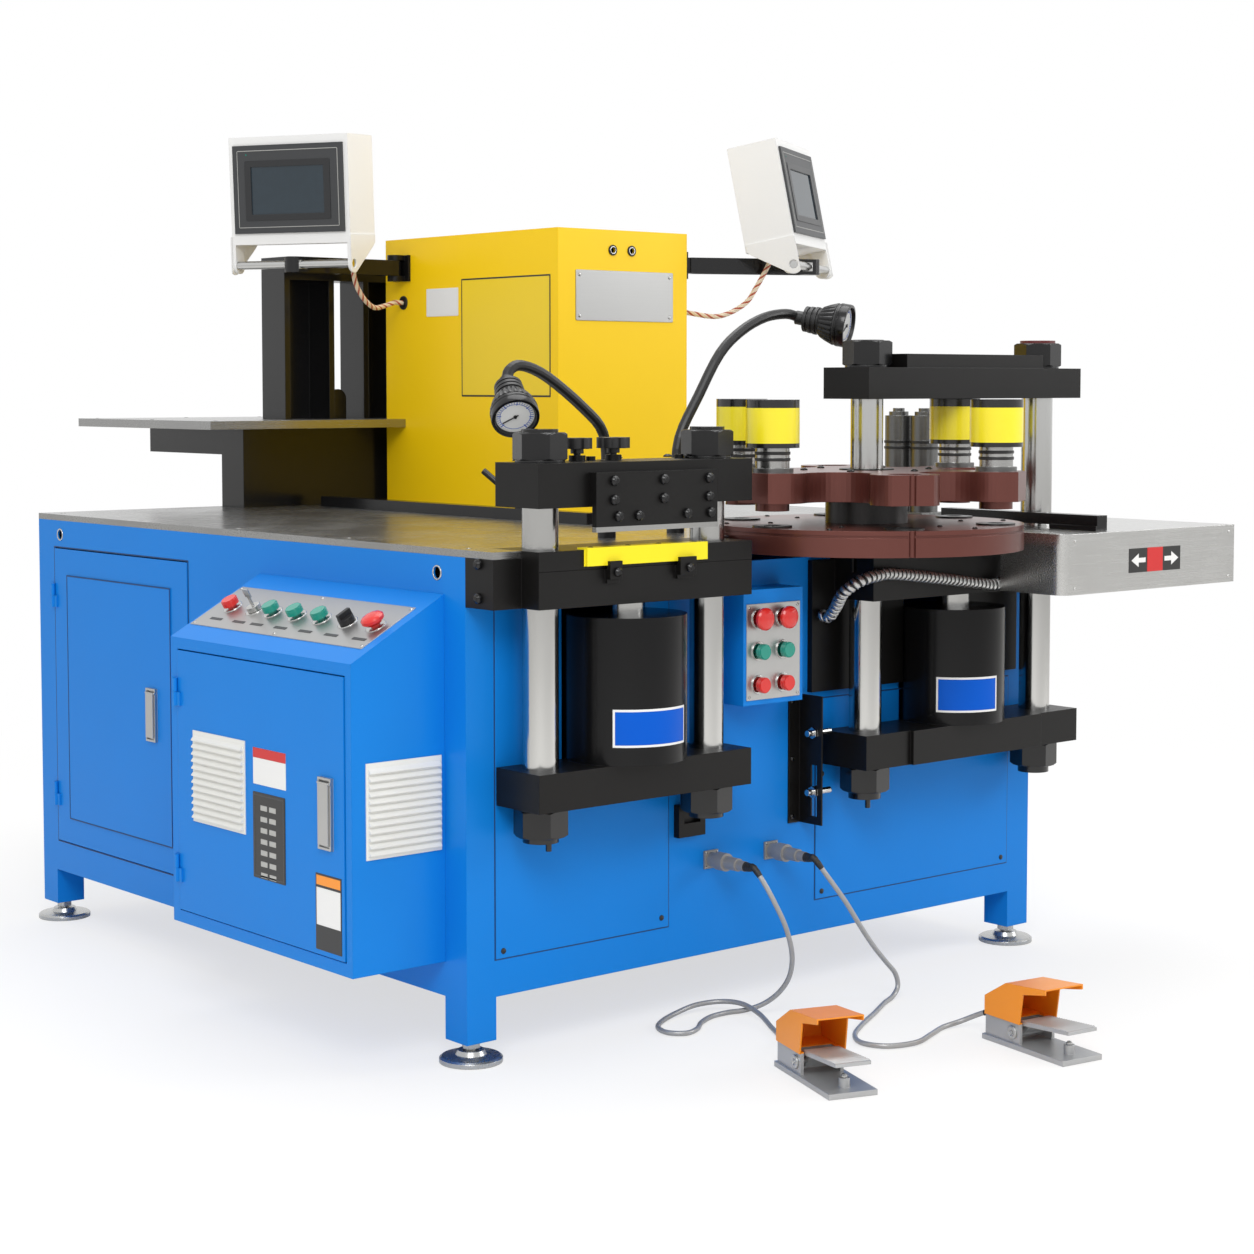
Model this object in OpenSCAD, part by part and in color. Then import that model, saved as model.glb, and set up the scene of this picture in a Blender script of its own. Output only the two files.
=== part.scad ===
// Busbar processing machine: a floor cabinet with a hydraulic shear, a turret punch
// and a bending bench on its steel worktop, run from a control box, a button pendant,
// two swinging screens and two foot pedals.
// Millimetres, +Z up. Everything is laid out from the cabinet's near lower corner
// (+X along the working front, +Y into the depth) and then moved so that the origin
// is under the near levelling foot.

/* [Cabinet] */
// Width of the cabinet along the working front
cab_w = 1400; // [1380:10:1480]
// Depth of the cabinet from front to back
cab_d = 1490; // [1470:10:1560]
// Height of the worktop's upper face above the floor
table_z = 850; // [840:5:870]
// Thickness of the worktop sheet
table_t = 12; // [8:1:16]
// Side of the square legs
leg = 60; // [50:5:80]
// Thickness of the cabinet's sheet
wall = 3; // [2:0.5:5]
// Height of the cabinet's underside above the floor
apron_z = 108; // [90:2:130]
// Height of the levelling feet under the legs
foot_h = 36; // [28:2:44]
// Diameter of a levelling foot's pad
foot_d = 106; // [80:2:120]

/* [Side door] */
// Height of the side door leaf
side_door_h = 607; // [560:1:610]
// Width of the side door leaf
side_door_w = 536; // [480:1:540]
// Gap round each door leaf
door_gap = 2; // [1:0.5:4]
// Thickness of the door leaves over their folded edges
leaf_t = 20; // [14:1:26]

/* [Control box] */
// Depth of the control box at its foot
box_d = 184; // [170:2:200]
// Width of the control box
box_w = 567; // [540:1:580]
// Height of the control box's front
box_front_h = 507; // [490:1:520]
// Rise of the sloped panel from front to back
panel_rise = 102; // [90:1:115]
// Diameter of the flat push buttons
button_d = 30; // [26:1:34]
// Diameter of the emergency stop mushroom
mushroom_d = 40; // [36:1:44]
// Travel of a push button
button_travel = 4; // [2:0.5:4]
// Running clearance of shafts, stems and pins in their bores, on the radius
fit = 0.05; // [0.02:0.01:0.09]

/* [Shear] */
// Width of the shear's plates
cut_w = 466; // [456:2:476]
// Centre of the shear along the front
cut_x = 290; // [284:1:300]
// Distance between the two tie rods of the shear
cut_span = 366; // [356:2:372]
// Diameter of the tie rods
rod_d = 60; // [50:1:62]
// Diameter of the shear's cylinder
cut_barrel_d = 206; // [190:2:214]
// Working stroke of the shear
cut_stroke = 40; // [30:1:44]
// Gap between blade and die when open
cut_open = 25; // [20:1:30]

/* [Punch] */
// Centre of the punch along the front
punch_x = 1105; // [1100:1:1110]
// Distance between the two tie rods of the punch
punch_span = 476; // [470:2:480]
// Width of the punch's plates
punch_w = 592; // [584:2:600]
// Diameter of the punch's cylinder
punch_barrel_d = 196; // [180:2:204]
// Working stroke of the punch
punch_stroke = 32; // [24:1:36]

/* [Turret] */
// Radius of the two turret discs
disc_r = 285; // [280:1:288]
// Thickness of the lower disc
die_disc_t = 46; // [40:1:50]
// Thickness of the upper disc
tool_disc_t = 53; // [46:1:56]
// Open height between the discs
disc_gap = 43; // [40:1:48]
// Radius of the lobes on the upper disc
lobe_r = 60; // [56:1:64]
// Outer diameter of the punch canisters
canister_d = 95; // [88:1:100]

/* [Covers and screens] */
// Width of the tall housing
hood_w = 356; // [340:2:370]
// Depth of the tall housing
hood_d = 618; // [600:2:630]
// Height of the tall housing above the worktop
hood_h = 590; // [560:5:610]
// Width of a screen case
screen_w = 290; // [270:2:310]
// Height of a screen case
screen_h = 230; // [210:2:240]
// Depth of a screen case
screen_d = 110; // [96:2:116]

/* [Pedals] */
// Width of a pedal's base
pedal_w = 85; // [80:1:92]
// Length of a pedal's base
pedal_l = 205; // [198:1:215]

/* [Hidden] */
$fn = 48;

eps = 0.01;
cab_top = table_z - table_t;
foot_in = leg / 2;
// flat faces that pass each other stay this far apart
slip = 0.3;

// side door, on the left face
door_y = cab_d - leg - side_door_w - 12;
door_z = 173;
leaf_proud = 2;
// control box, on the left face
box_y = 58;
box_z = 166;
box_wall = 2.5;
slope = atan(panel_rise / box_d);
panel_t = 1.5;
bezel_t = 1.3;
// row of controls along the slope
row_s = 102;
row_y = [561, 486, 428, 352, 275, 197, 115];
cdoor_y = box_y + 19;
cdoor_w = box_w - 44;
cdoor_z = box_z + 24;
cdoor_h = box_front_h - 46;

// both presses stand in front of the cabinet
press_y = -60;
plate_t = 114;
bed_t = 120;
// shear levels, from the worktop
cut_bed_z = table_z - 93;
blade_z = table_z + 3 + cut_open;
die_top = table_z + 3;
cut_beam_z = blade_z + 41;
cut_beam_h = 72;
yoke_h = 63;
cut_yoke_z = 428;
nut_h = 43;
nut_r = 43;
washer_t = 4;
barrel_h = 244;

// turret and punch levels
hub_x = punch_x - punch_span / 2;
pitch_r = punch_span / 2;
disc_z = table_z - 30;
tool_z = disc_z + die_disc_t + disc_gap;
tool_top = tool_z + tool_disc_t;
post_d = 100;
hub_d = 150;
shank_d = 60;
head_z = tool_top + 128.5;
canister_z = tool_top + 44;
punch_beam_z = head_z + 0.5;
punch_beam_h = 57;
punch_yoke_z = 420;
punch_rod_r = 15;
stations = [0, -60, 180, 120];
bracket_z = 725;
bracket_top = disc_z - 8;
notch_r = disc_r + 7;
// outline of the upper disc: lobes with hollows between, arcs tangent to each other
hollow_in = 150;
hollow_r = (pow(pitch_r, 2) + pow(hollow_in, 2) - 2 * cos(30) * pitch_r * hollow_in
    - pow(lobe_r, 2)) / (2 * (lobe_r + cos(30) * pitch_r - hollow_in));
hollow_c = hollow_in + hollow_r;

// tall housing
hood_x = 800;
hood_y = 756;
hood_z = table_z;
// screens: hinge on the housing, bearing and length of the arm, turn and tilt of the case
arm_z = 1358;
arm_h = 34;
arm_w = 40;
pivot_z = arm_z + arm_h / 2;
hinge_l = [hood_x - 22, hood_y + hood_d - 66];
hinge_r = [hood_x + hood_w + 22, hood_y + 44];
bearing_l = 180;
bearing_r = -25;
reach_l = 263;
reach_r = 298;
face_l = -62.4;
face_r = 31;
tilt_l = -3;
tilt_r = 11;
bar_r = 9;
ear_t = 8;
bar_l = screen_w;
case_up = 44;
case_front = 10;
gland_l = [110, 60];
gland_r = [-100, 66];

// gauge table at the right of the punch
trough_x = 1150;
trough_y = -290;
trough_z = table_z - 8;
trough_h = 113;
trough_w = cab_w + 270 - trough_x;

// pendant
pend = [560, -60, 553];
pend_size = [145, 60, 204];
pend_cols = [36, 95];
pend_rows = [153, 95, 36];

// pedals: centre on the floor and turn; pivot of the treadle
pedal_1 = [397, -428, -19.3];
pedal_2 = [805, -534, -9];
treadle_y = 28;
treadle_z = 27;
gland_end = [0, 106, 28];

// cord routes from the plugs to the pedals
cord_r = 4.5;
socket_1 = [537, 0, 277];
socket_2 = [684, 0, 275];
plug_l = 92;
cord_route_1 = [[537, -92, 277], [537, -103, 277], [537, -114, 277], [543, -132, 254], [558, -144, 218],
    [582, -147, 172], [607, -137, 120], [620, -118, 76], [618, -94, 42], [604, -68, 18],
    [580, -46, 6.5], [548, -34, 5], [508, -36, 5], [468, -54, 5], [434, -80, 5],
    [402, -88, 5], [380, -64, 5], [390, -28, 5], [424, -2, 5.5], [470, 14, 8],
    [520, 18, 13], [560, -4, 17], [575, -44, 18], [566, -98, 12], [537, -158, 6.5],
    [503, -216, 7], [466, -258, 15]];
cord_route_2 = [[684, -92, 275], [684, -103, 275], [684, -114, 275], [697, -128, 250], [736, -140, 196],
    [773, -144, 144], [808, -144, 102], [840, -143, 70], [865, -142, 45], [870, -144, 21],
    [850, -150, 6.5], [808, -169, 5], [742, -207, 5], [670, -246, 5], [614, -284, 5],
    [588, -326, 5], [606, -368, 5], [660, -384, 5], [716, -366, 5], [766, -348, 5],
    [804, -352, 9]];
hose_route = [[796, -12, 695], [796, -24, 695], [796, -37, 695], [787, -62, 714], [776, -94, 744],
    [794, -120, 766], [836, -125, 774], [876, -125, 774], [1010, -125, 758],
    [1100, -125, 745], [1150, -125, 741], [1184, -132, 757], [1196, -142, 796],
    [1196, -142, 822], [1196, -142, 839]];

// ---------------------------------------------------------------- helpers

function unit(v) = v / norm(v);

// point on a smooth curve through b and c, led by a and d
function curve_at(a, b, c, d, t) =
    0.5 * ((2 * b) + (c - a) * t + (2 * a - 5 * b + 4 * c - d) * t * t
    + (3 * b - a - 3 * c + d) * t * t * t);

// the route as a smooth line with n steps between neighbouring points
function smooth(p, n) = let (m = len(p) - 1)
    concat([for (i = [0 : m - 1], k = [0 : n - 1])
        curve_at(p[max(i - 1, 0)], p[i], p[i + 1], p[min(i + 2, m)], k / n)], [p[m]]);

function heading(p, i) = unit(p[min(i + 1, len(p) - 1)] - p[max(i - 1, 0)]);

function carried(u, t) = unit(u - (u * t) * t);

// a sideways direction for every ring, carried along without twist
function sideways(p, u, i = 0) = i == len(p) ? [] :
    let (s = carried(u, heading(p, i))) concat([s], sideways(p, s, i + 1));

// round tube along a line of points
module swept_tube(p, r, sides = 10, start = [0.3, 0.2, 1]) {
    u = sideways(p, start);
    n = len(p);
    rings = [for (i = [0 : n - 1], k = [0 : sides - 1])
        let (v = cross(heading(p, i), u[i]), a = 360 * k / sides)
        p[i] + r * (cos(a) * u[i] + sin(a) * v)];
    walls = [for (i = [0 : n - 2], k = [0 : sides - 1])
        let (a = i * sides + k, b = i * sides + (k + 1) % sides)
        each [[a, a + sides, b], [b, a + sides, b + sides]]];
    ends = [[for (k = [0 : sides - 1]) k],
        [for (k = [sides - 1 : -1 : 0]) (n - 1) * sides + k]];
    polyhedron(rings, concat(walls, ends));
}

function turn_z(v, a) =
    [v[0] * cos(a) - v[1] * sin(a), v[0] * sin(a) + v[1] * cos(a), v[2]];

function turn_x(v, a) =
    [v[0], v[1] * cos(a) - v[2] * sin(a), v[1] * sin(a) + v[2] * cos(a)];

// centre of the tilt bar at the end of a screen arm
function bar_centre(hinge, bearing, reach) =
    [hinge[0] + reach * cos(bearing), hinge[1] + reach * sin(bearing), pivot_z];

// a point of a screen case in the cabinet's frame
function on_case(bar, face, tilt, p) = bar + turn_z(turn_x(p, -tilt), face);

// a point of a pedal in the cabinet's frame
function on_pedal(q, p) = [q[0], q[1], 0] + turn_z(p, q[2]);

// turns +Z towards a direction
module aim(p, d) {
    translate(p)
        rotate([0, acos(d[2] / norm(d)), atan2(d[1], d[0])])
            children();
}

// from the cabinet's near corner to the part's own origin
module placed() {
    translate([-foot_in, -foot_in, 0])
        children();
}

module block(from, to) {
    translate(from)
        cube(to - from);
}

module ring(ro, ri, h) {
    difference() {
        cylinder(r = ro, h = h);
        translate([0, 0, -1])
            cylinder(r = ri, h = h + 2);
    }
}

module hex(r, h) {
    cylinder(r = r, h = h, $fn = 6);
}

// socket head screw, head down at z = 0, pointing up
module cap_screw(d, h) {
    difference() {
        cylinder(d = d, h = h, $fn = 24);
        translate([0, 0, h / 2])
            cylinder(d = d * 0.55, h = h, $fn = 6);
    }
}

// places children on the sloped panel: s up the slope, y along it, z outwards
module on_slope(s, y) {
    translate([-box_d, y, box_z + box_front_h])
        rotate([0, -slope, 0])
            translate([s, 0, 0])
                children();
}

// slatted vent, face towards -Y, foot at z = 0
module vent(w, h, slats) {
    pitch = (h - 12) / slats;
    block([0, -2, 0], [w, 0, h]);
    for (i = [0 : slats - 1])
        translate([4, -2, 6 + i * pitch])
            rotate([90, 0, 90])
                linear_extrude(w - 8)
                    polygon([[0, 0], [-6, 1], [-6, 3], [0, pitch * 0.8]]);
}

// door leaf of folded sheet, outer face at y = 0 towards -Y, foot at z = 0
module leaf(w, h) {
    difference() {
        cube([w, leaf_t, h]);
        translate([wall, wall, wall])
            cube([w - 2 * wall, leaf_t, h - 2 * wall]);
    }
}

// ---------------------------------------------------------------- cabinet

module turret_notch(z, grow = 0) {
    translate([hub_x, press_y, z])
        cylinder(r = notch_r + grow, h = 200, $fn = 96);
}

module barrel_window(x, d, z0, z1) {
    half = sqrt(pow(d / 2 + 5, 2) - pow(press_y, 2)) + 2;
    block([x - half, -20, z0], [x + half, wall + 1, z1]);
}

module cabinet() {
    color("dodgerblue") placed() {
        difference() {
            union() {
                difference() {
                    block([0, 0, apron_z], [cab_w, cab_d, cab_top]);
                    block([wall, wall, apron_z + wall],
                        [cab_w - wall, cab_d - wall, cab_top + 1]);
                }
                for (x = [0, cab_w - leg], y = [0, cab_d - leg])
                    block([x, y, foot_h], [x + leg, y + leg, cab_top]);
                // screwed cover panels on the front
                block([59, -1.5, 171], [437, 0, cut_bed_z - 2]);
                block([799, -1.5, 168], [cab_w - 66, 0, 540]);
                // stiffening rails under the worktop
                block([leg, cab_d / 2 - 20, cab_top - 40],
                    [cab_w - wall, cab_d / 2 + 20, cab_top]);
            }
            for (x = [wall, cab_w - leg + wall], y = [wall, cab_d - leg + wall])
                block([x, y, foot_h + 6], [x + leg - 2 * wall, y + leg - 2 * wall, cab_top + 1]);
            block([-1, door_y - door_gap, door_z - door_gap],
                [wall + 1, door_y + side_door_w + door_gap, door_z + side_door_h + door_gap]);
            barrel_window(cut_x, cut_barrel_d, cut_yoke_z + 8, cut_bed_z - 4);
            barrel_window(punch_x, punch_barrel_d, punch_yoke_z + 20, bracket_z - 4);
            turret_notch(disc_z - 17);
            for (y = [77, 1396])
                translate([-1, y, table_z - 41])
                    rotate([0, 90, 0])
                        cylinder(r = 10, h = wall + 2);
        }
        hinge_halves(-leaf_proud, door_y + side_door_w, door_z, side_door_h, true);
        // pan under the lower turret disc
        intersection() {
            difference() {
                turret_notch(disc_z - 20, 3);
                turret_notch(disc_z - 17);
            }
            block([hub_x - 400, 0, disc_z - 20], [hub_x + 400, 400, cab_top]);
        }
    }
}

module levelling_feet() {
    color("silver") placed()
        for (x = [foot_in, cab_w - foot_in], y = [foot_in, cab_d - foot_in])
            translate([x, y, 0]) {
                rotate_extrude()
                    polygon([[0, 0], [foot_d / 2, 0], [foot_d / 2, 7], [foot_d / 2 - 4, 10],
                        [26, 12], [22, 20], [0, 20]]);
                cylinder(r = 9, h = foot_h);
                translate([0, 0, foot_h - 13])
                    hex(16, 13);
            }
}

module worktops() {
    color("lightgray") placed() {
        difference() {
            union() {
                block([0, 0, cab_top], [cab_w, cab_d, table_z]);
                block([0, press_y - 15, cab_top], [cut_x - cut_w / 2, 0, table_z]);
            }
            turret_notch(cab_top - 1);
        }
        // raised rear bench sheet
        block([300, 1300, 1022], [hood_x - slip, 1884, 1040]);
        block([hood_x - 1, hood_y + hood_d + 6, 1022], [960, 1884, 1040]);
    }
}

// channel post, open to the front
module post(x, y, z0, z1) {
    difference() {
        block([x, y, z0], [x + 131, y + 95, z1]);
        block([x + 14, y - 1, z0 - 1], [x + 117, y + 81, z1 + 1]);
    }
}

module bend_frame() {
    color("dimgray") placed() {
        // bench body on the worktop and the rails that carry the rear sheet
        block([440, 1400, table_z], [960, cab_d, 1022]);
        for (x = [470, 870])
            block([x, cab_d, 962], [x + 60, 1860, 1022]);
        post(580, 1450, 1040, 1350);
        post(790, 1450, 1040, 1350);
        block([580, 1450, 1350], [921, 1545, 1400]);
        // rounded stop between the posts
        block([711, 1470, 1040], [755, 1500, 1085]);
        translate([733, 1470, 1085])
            rotate([-90, 0, 0])
                cylinder(r = 22, h = 30);
        // fence on the worktop with its clamp lever
        block([600, 420, table_z], [630, 1340, table_z + 22]);
        translate([615, 640, table_z + 22]) {
            cylinder(r = 14, h = 18);
            translate([0, 0, 9])
                rotate([-52, 0, 30])
                    cylinder(r = 6.5, h = 105);
        }
    }
}

module housing() {
    color("gold") placed()
        difference() {
            block([hood_x, hood_y, hood_z],
                [hood_x + hood_w, hood_y + hood_d, hood_z + hood_h]);
            block([hood_x + 2.5, hood_y + 2.5, hood_z - 1],
                [hood_x + hood_w - 2.5, hood_y + hood_d - 2.5, hood_z + hood_h - 2.5]);
            // two round sockets high on the front and a cable hole in the left side
            for (x = [147, 199])
                translate([hood_x + x, hood_y + 4, hood_z + hood_h - 42])
                    rotate([90, 0, 0])
                        cylinder(r = 8, h = 8);
        }
    color("dimgray") placed() {
        for (x = [147, 199])
            translate([hood_x + x, hood_y + 2.5, hood_z + hood_h - 42])
                rotate([90, 0, 0])
                    ring(11, 6, 5);
        // grommet
        translate([hood_x + 2.5, 1305, 1299])
            rotate([0, -90, 0])
                cylinder(r = 13, h = 6);
        translate([hood_x + hood_w - 2.5, 820, 1280])
            rotate([0, 90, 0])
                cylinder(r = 13, h = 6);
        arm_bracket(hinge_l, -1, hood_x);
        arm_bracket(hinge_r, 1, hood_x + hood_w);
    }
}

// plate on the housing with two lugs and the hinge pin of a screen arm
module arm_bracket(h, side, face_x) {
    x0 = side < 0 ? face_x - 6 : face_x;
    block([x0, h[1] - 30, arm_z - 12], [x0 + 6, h[1] + 30, arm_z + arm_h + 12]);
    for (z = [arm_z - 12, arm_z + arm_h + slip]) {
        block([min(h[0], face_x), h[1] - 16, z], [max(h[0], face_x), h[1] + 16, z + 12 - slip]);
        translate([h[0], h[1], z])
            cylinder(r = 16, h = 12 - slip);
    }
    translate([h[0], h[1], arm_z - 12])
        cylinder(r = 8, h = arm_h + 24);
}

// ---------------------------------------------------------------- gauges

// ribbed round head with a recessed dial, neck at the origin, dial towards +Z
module gauge_head() {
    rotate_extrude()
        polygon([[0, 0], [13, 0], [13, 14], [24, 18], [24, 24], [21, 24], [21, 28],
            [25, 28], [25, 34], [22, 34], [22, 38], [26, 38], [26, 44], [23, 44], [23, 48],
            [27, 50], [37, 78], [39, 82], [39, 104], [35, 104], [33, 98], [0, 98]]);
    // needle on its hub
    translate([0, 0, 98]) {
        cylinder(r = 3, h = 3);
        rotate([0, 0, 215])
            translate([-1, -6, 1])
                cube([2, 30, 1]);
    }
}

module gauges() {
    color("dimgray") placed() {
        for (p = [[382, 100], [569, 130]])
            translate([p[0], p[1], table_z])
                cylinder(r = 16, h = 22);
        swept_tube(smooth([[382, 100, table_z + 20], [382, 100, 960], [374, 100, 1032],
            [330, 100, 1076], [249, 100, 1130], [195, 100, 1149], [168, 99, 1141],
            [161, 98, 1122]], 4), 9.5, 12);
        aim([161, 98, 1124], [-0.362, -0.703, -0.61])
            gauge_head();
        swept_tube(smooth([[569, 130, table_z + 20], [569, 130, 940], [578, 130, 1020],
            [625, 130, 1097], [677, 130, 1173], [730, 130, 1215], [789, 130, 1241],
            [846, 131, 1249], [874, 126, 1243]], 4), 9.5, 12);
        aim([872, 130, 1243], [0.473, -0.862, -0.17])
            gauge_head();
    }
}

// ---------------------------------------------------------------- shear

module tie_bores(x, span, z, h) {
    for (k = [-1, 1])
        translate([x + k * span / 2, press_y, z])
            cylinder(r = rod_d / 2 + fit, h = h);
}

// rod with a nut and a washer at each end
module tie_rod(z0, z1, low, high) {
    translate([0, 0, z0])
        cylinder(r = rod_d / 2, h = z1 - z0);
    translate([0, 0, low - washer_t])
        cylinder(r = nut_r - 2, h = washer_t);
    translate([0, 0, low - washer_t - nut_h])
        rotate([0, 0, 12])
            hex(nut_r, nut_h);
    translate([0, 0, high])
        cylinder(r = nut_r - 2, h = washer_t);
    translate([0, 0, high + washer_t])
        rotate([0, 0, 12])
            hex(nut_r, nut_h);
}

module cut_bed() {
    left = cut_x - cut_w / 2;
    right = cut_x + cut_w / 2;
    front = press_y - bed_t / 2;
    color("gray") placed() {
        difference() {
            union() {
                block([left, front, cut_bed_z], [right, 0, table_z - 33]);
                block([left, front + 1, cut_bed_z], [right, 0, table_z]);
                block([left, front, table_z - 32], [right, 0, table_z]);
                // die along the front edge
                block([cut_x - 138, front - 6, die_top - 30], [cut_x + 125, front + 20, die_top]);
                for (x = [[194, 220], [347, 383]]) {
                    block([x[0], front - 6, 793], [x[1], front, 816]);
                    block([x[0], front - 14, 800], [x[1], front - 5, 830]);
                }
                // mounting block under the tab of the worktop
                block([0, press_y - 15, cut_bed_z], [left, 0, cab_top]);
            }
            tie_bores(cut_x, cut_span, cut_bed_z - 1, 200);
        }
        // piston rod, fixed: the cylinder moves on it
        translate([cut_x, press_y, cut_bed_z - 150])
            cylinder(r = rod_d / 2, h = 150 + eps);
        // slotted bracket on the cabinet
        difference() {
            block([451, -14, 326], [513, 0, 383]);
            block([463, -15, 350], [501, -3, 359]);
        }
    }
}

module cut_beam() {
    left = cut_x - cut_w / 2;
    right = cut_x + cut_w / 2;
    color("lightsteelblue") placed()
        difference() {
            union() {
                block([left, press_y - 60, cut_beam_z], [right, press_y + 54, cut_beam_z + cut_beam_h]);
                for (x = [cut_x - 89, cut_x - 11])
                    translate([x, press_y + 20, cut_beam_z + cut_beam_h])
                        cylinder(r = 14, h = 9);
                for (x = [cut_x - 60, cut_x + 136])
                    translate([x, press_y + 20, cut_beam_z + cut_beam_h])
                        cylinder(r = 8, h = 7);
            }
            tie_bores(cut_x, cut_span, cut_beam_z - 1, 200);
            for (x = [cut_x - 89, cut_x - 11])
                translate([x, press_y + 20, cut_beam_z + cut_beam_h - 24])
                    cylinder(r = 6 + fit, h = 60);
        }
}

module star_knob(x, d) {
    z = cut_beam_z + cut_beam_h;
    color("black") placed()
        translate([x, press_y + 20, 0]) {
            translate([0, 0, z - 20])
                cylinder(r = 6, h = 42);
            difference() {
                union() {
                    translate([0, 0, z + 20])
                        cylinder(r = d / 2, h = 18);
                    translate([0, 0, z + 12])
                        cylinder(r = 11, h = 12);
                }
                for (a = [0 : 60 : 300])
                    rotate([0, 0, a])
                        translate([d / 2 + 5, 0, z + 19])
                            cylinder(r = 10, h = 20);
            }
        }
}

module star_knob_left() {
    star_knob(cut_x - 89, 50);
}

module star_knob_right() {
    star_knob(cut_x - 11, 56);
}

module blade_holder() {
    front = press_y - 60;
    left = cut_x - 128;
    right = cut_x + 137;
    color("silver") placed() {
        union() {
            block([left, front - 17, blade_z + 9], [right, front - 6.3, blade_z + 97]);
            block([left, front - 7, cut_beam_z + 1], [right, front, blade_z + 97]);
            block([left, front - 17, blade_z], [right, front - 6.3, blade_z + 9]);
        }
    }
}

// moving cylinder with its lower plate
module moving_cylinder(x, w, span, z, barrel_d, h, bore_h) {
    color("gray") placed()
        difference() {
            union() {
                block([x - w / 2, press_y - 60, z], [x + w / 2, press_y + 54, z + yoke_h]);
                translate([x, press_y, z + yoke_h - eps])
                    cylinder(r = barrel_d / 2, h = h + eps, $fn = 72);
            }
            tie_bores(x, span, z - 1, 100);
            translate([x, press_y, z + yoke_h + h - bore_h])
                cylinder(r = rod_d / 2 + fit, h = bore_h + 1);
        }
}

module cut_yoke() {
    moving_cylinder(cut_x, cut_w, cut_span, cut_yoke_z, cut_barrel_d, barrel_h, 180);
}

module cut_tie_rods() {
    color("silver") placed()
        for (k = [-1, 1])
            translate([cut_x + k * cut_span / 2, press_y, 0]) {
                tie_rod(cut_yoke_z - 58, cut_beam_z + cut_beam_h + 54, cut_yoke_z,
                    cut_beam_z + cut_beam_h);
                if (k < 0)
                    translate([10, -8, cut_yoke_z - 74])
                        cylinder(r = 5, h = 30);
            }
}

// ---------------------------------------------------------------- punch

module punch_bracket() {
    color("dimgray") placed() {
        difference() {
            union() {
                block([777, -12, 555], [1345, 0, 797]);
                block([835, press_y - 50, bracket_z], [1390, 0, bracket_top]);
                translate([hub_x, press_y, bracket_top - eps])
                    cylinder(r = 75, h = 8 - slip + eps, $fn = 72);
                translate([hub_x, press_y, bracket_top - eps])
                    cylinder(r = post_d / 2, h = tool_top + 2 - bracket_top, $fn = 72);
            }
            barrel_window(punch_x, punch_barrel_d, punch_yoke_z + 20, bracket_z - 4);
            translate([punch_x + punch_span / 2, press_y, bracket_z - 1])
                cylinder(r = rod_d / 2 + fit, h = 200);
            translate([hub_x, press_y, bracket_z - 1])
                cylinder(r = rod_d / 2 + fit, h = 60);
            translate([hub_x, press_y, bracket_z + 50])
                cylinder(r = rod_d / 2 + 2, h = 300);
        }
        translate([punch_x, press_y, bracket_z - 125])
            cylinder(r = rod_d / 2, h = 125 + eps);
        // sensor bracket on the cabinet
        block([728, -3, 318], [758, 0, 554]);
        difference() {
            block([755, -60, 318], [758, 0, 554]);
            block([754, -48, 333], [759, -33, 427]);
        }
        for (z = [378, 486])
            translate([737, -40.5, z])
                rotate([0, 90, 0]) {
                    cylinder(r = 6, h = 58);
                    translate([0, 0, 12])
                        hex(11, 6 + eps);
                    translate([0, 0, 21 - eps])
                        hex(11, 6);
                }
    }
}

module punch_beam() {
    w = punch_w / 2;
    color("lightsteelblue") placed()
        difference() {
            union() {
                block([punch_x - w, press_y - 60, punch_beam_z],
                    [punch_x + w, press_y + 54, punch_beam_z + punch_beam_h]);
                block([punch_x - 190, press_y - 54, punch_beam_z + punch_beam_h - 1],
                    [punch_x + 190, press_y + 48, punch_beam_z + punch_beam_h + 25]);
            }
            tie_bores(punch_x, punch_span, punch_beam_z - 1, 200);
        }
}

module punch_yoke() {
    moving_cylinder(punch_x, punch_w, punch_span, punch_yoke_z, punch_barrel_d, 216, 170);
    color("gray") placed()
        block([punch_x - 180, press_y - 68, punch_yoke_z],
            [punch_x + 180, press_y - 59, punch_yoke_z + yoke_h]);
}

module punch_tie_rods() {
    high = punch_beam_z + punch_beam_h;
    color("silver") placed()
        for (k = [-1, 1])
            translate([punch_x + k * punch_span / 2, press_y, 0]) {
                tie_rod(punch_yoke_z - 62, high + 50, punch_yoke_z, high);
                if (k < 0)
                    translate([0, -8, punch_yoke_z - 80])
                        cylinder(r = 5, h = 30);
                else
                    translate([0, 0, high + 40])
                        cylinder(r = 34, h = 14);
            }
}

// ---------------------------------------------------------------- turret

module at_hub(z) {
    placed()
        translate([hub_x, press_y, z])
            children();
}

module at_station(a) {
    rotate([0, 0, a])
        translate([pitch_r, 0, 0])
            children();
}

// lobes with flats and the hollows between them, as arcs that meet without a corner
function tool_disc_outline() =
    let (q = hollow_c * [cos(30), sin(30)] - [pitch_r, 0],
        meet = atan2(q[1], q[0]),
        flat = acos((disc_r - pitch_r) / lobe_r),
        half = meet - 30)
    [for (a = [0 : 60 : 300]) each concat(
        [for (k = [0 : 12]) lobe_point(a, -meet + (meet - flat) * k / 12)],
        [for (k = [0 : 12]) lobe_point(a, flat + (meet - flat) * k / 12)],
        [for (k = [1 : 19]) hollow_point(a + 30, 180 + half * (1 - k / 10))])];

function lobe_point(a, t) =
    pitch_r * [cos(a), sin(a)] + lobe_r * [cos(a + t), sin(a + t)];

function hollow_point(a, t) =
    hollow_c * [cos(a), sin(a)] + hollow_r * [cos(a + t), sin(a + t)];

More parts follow.
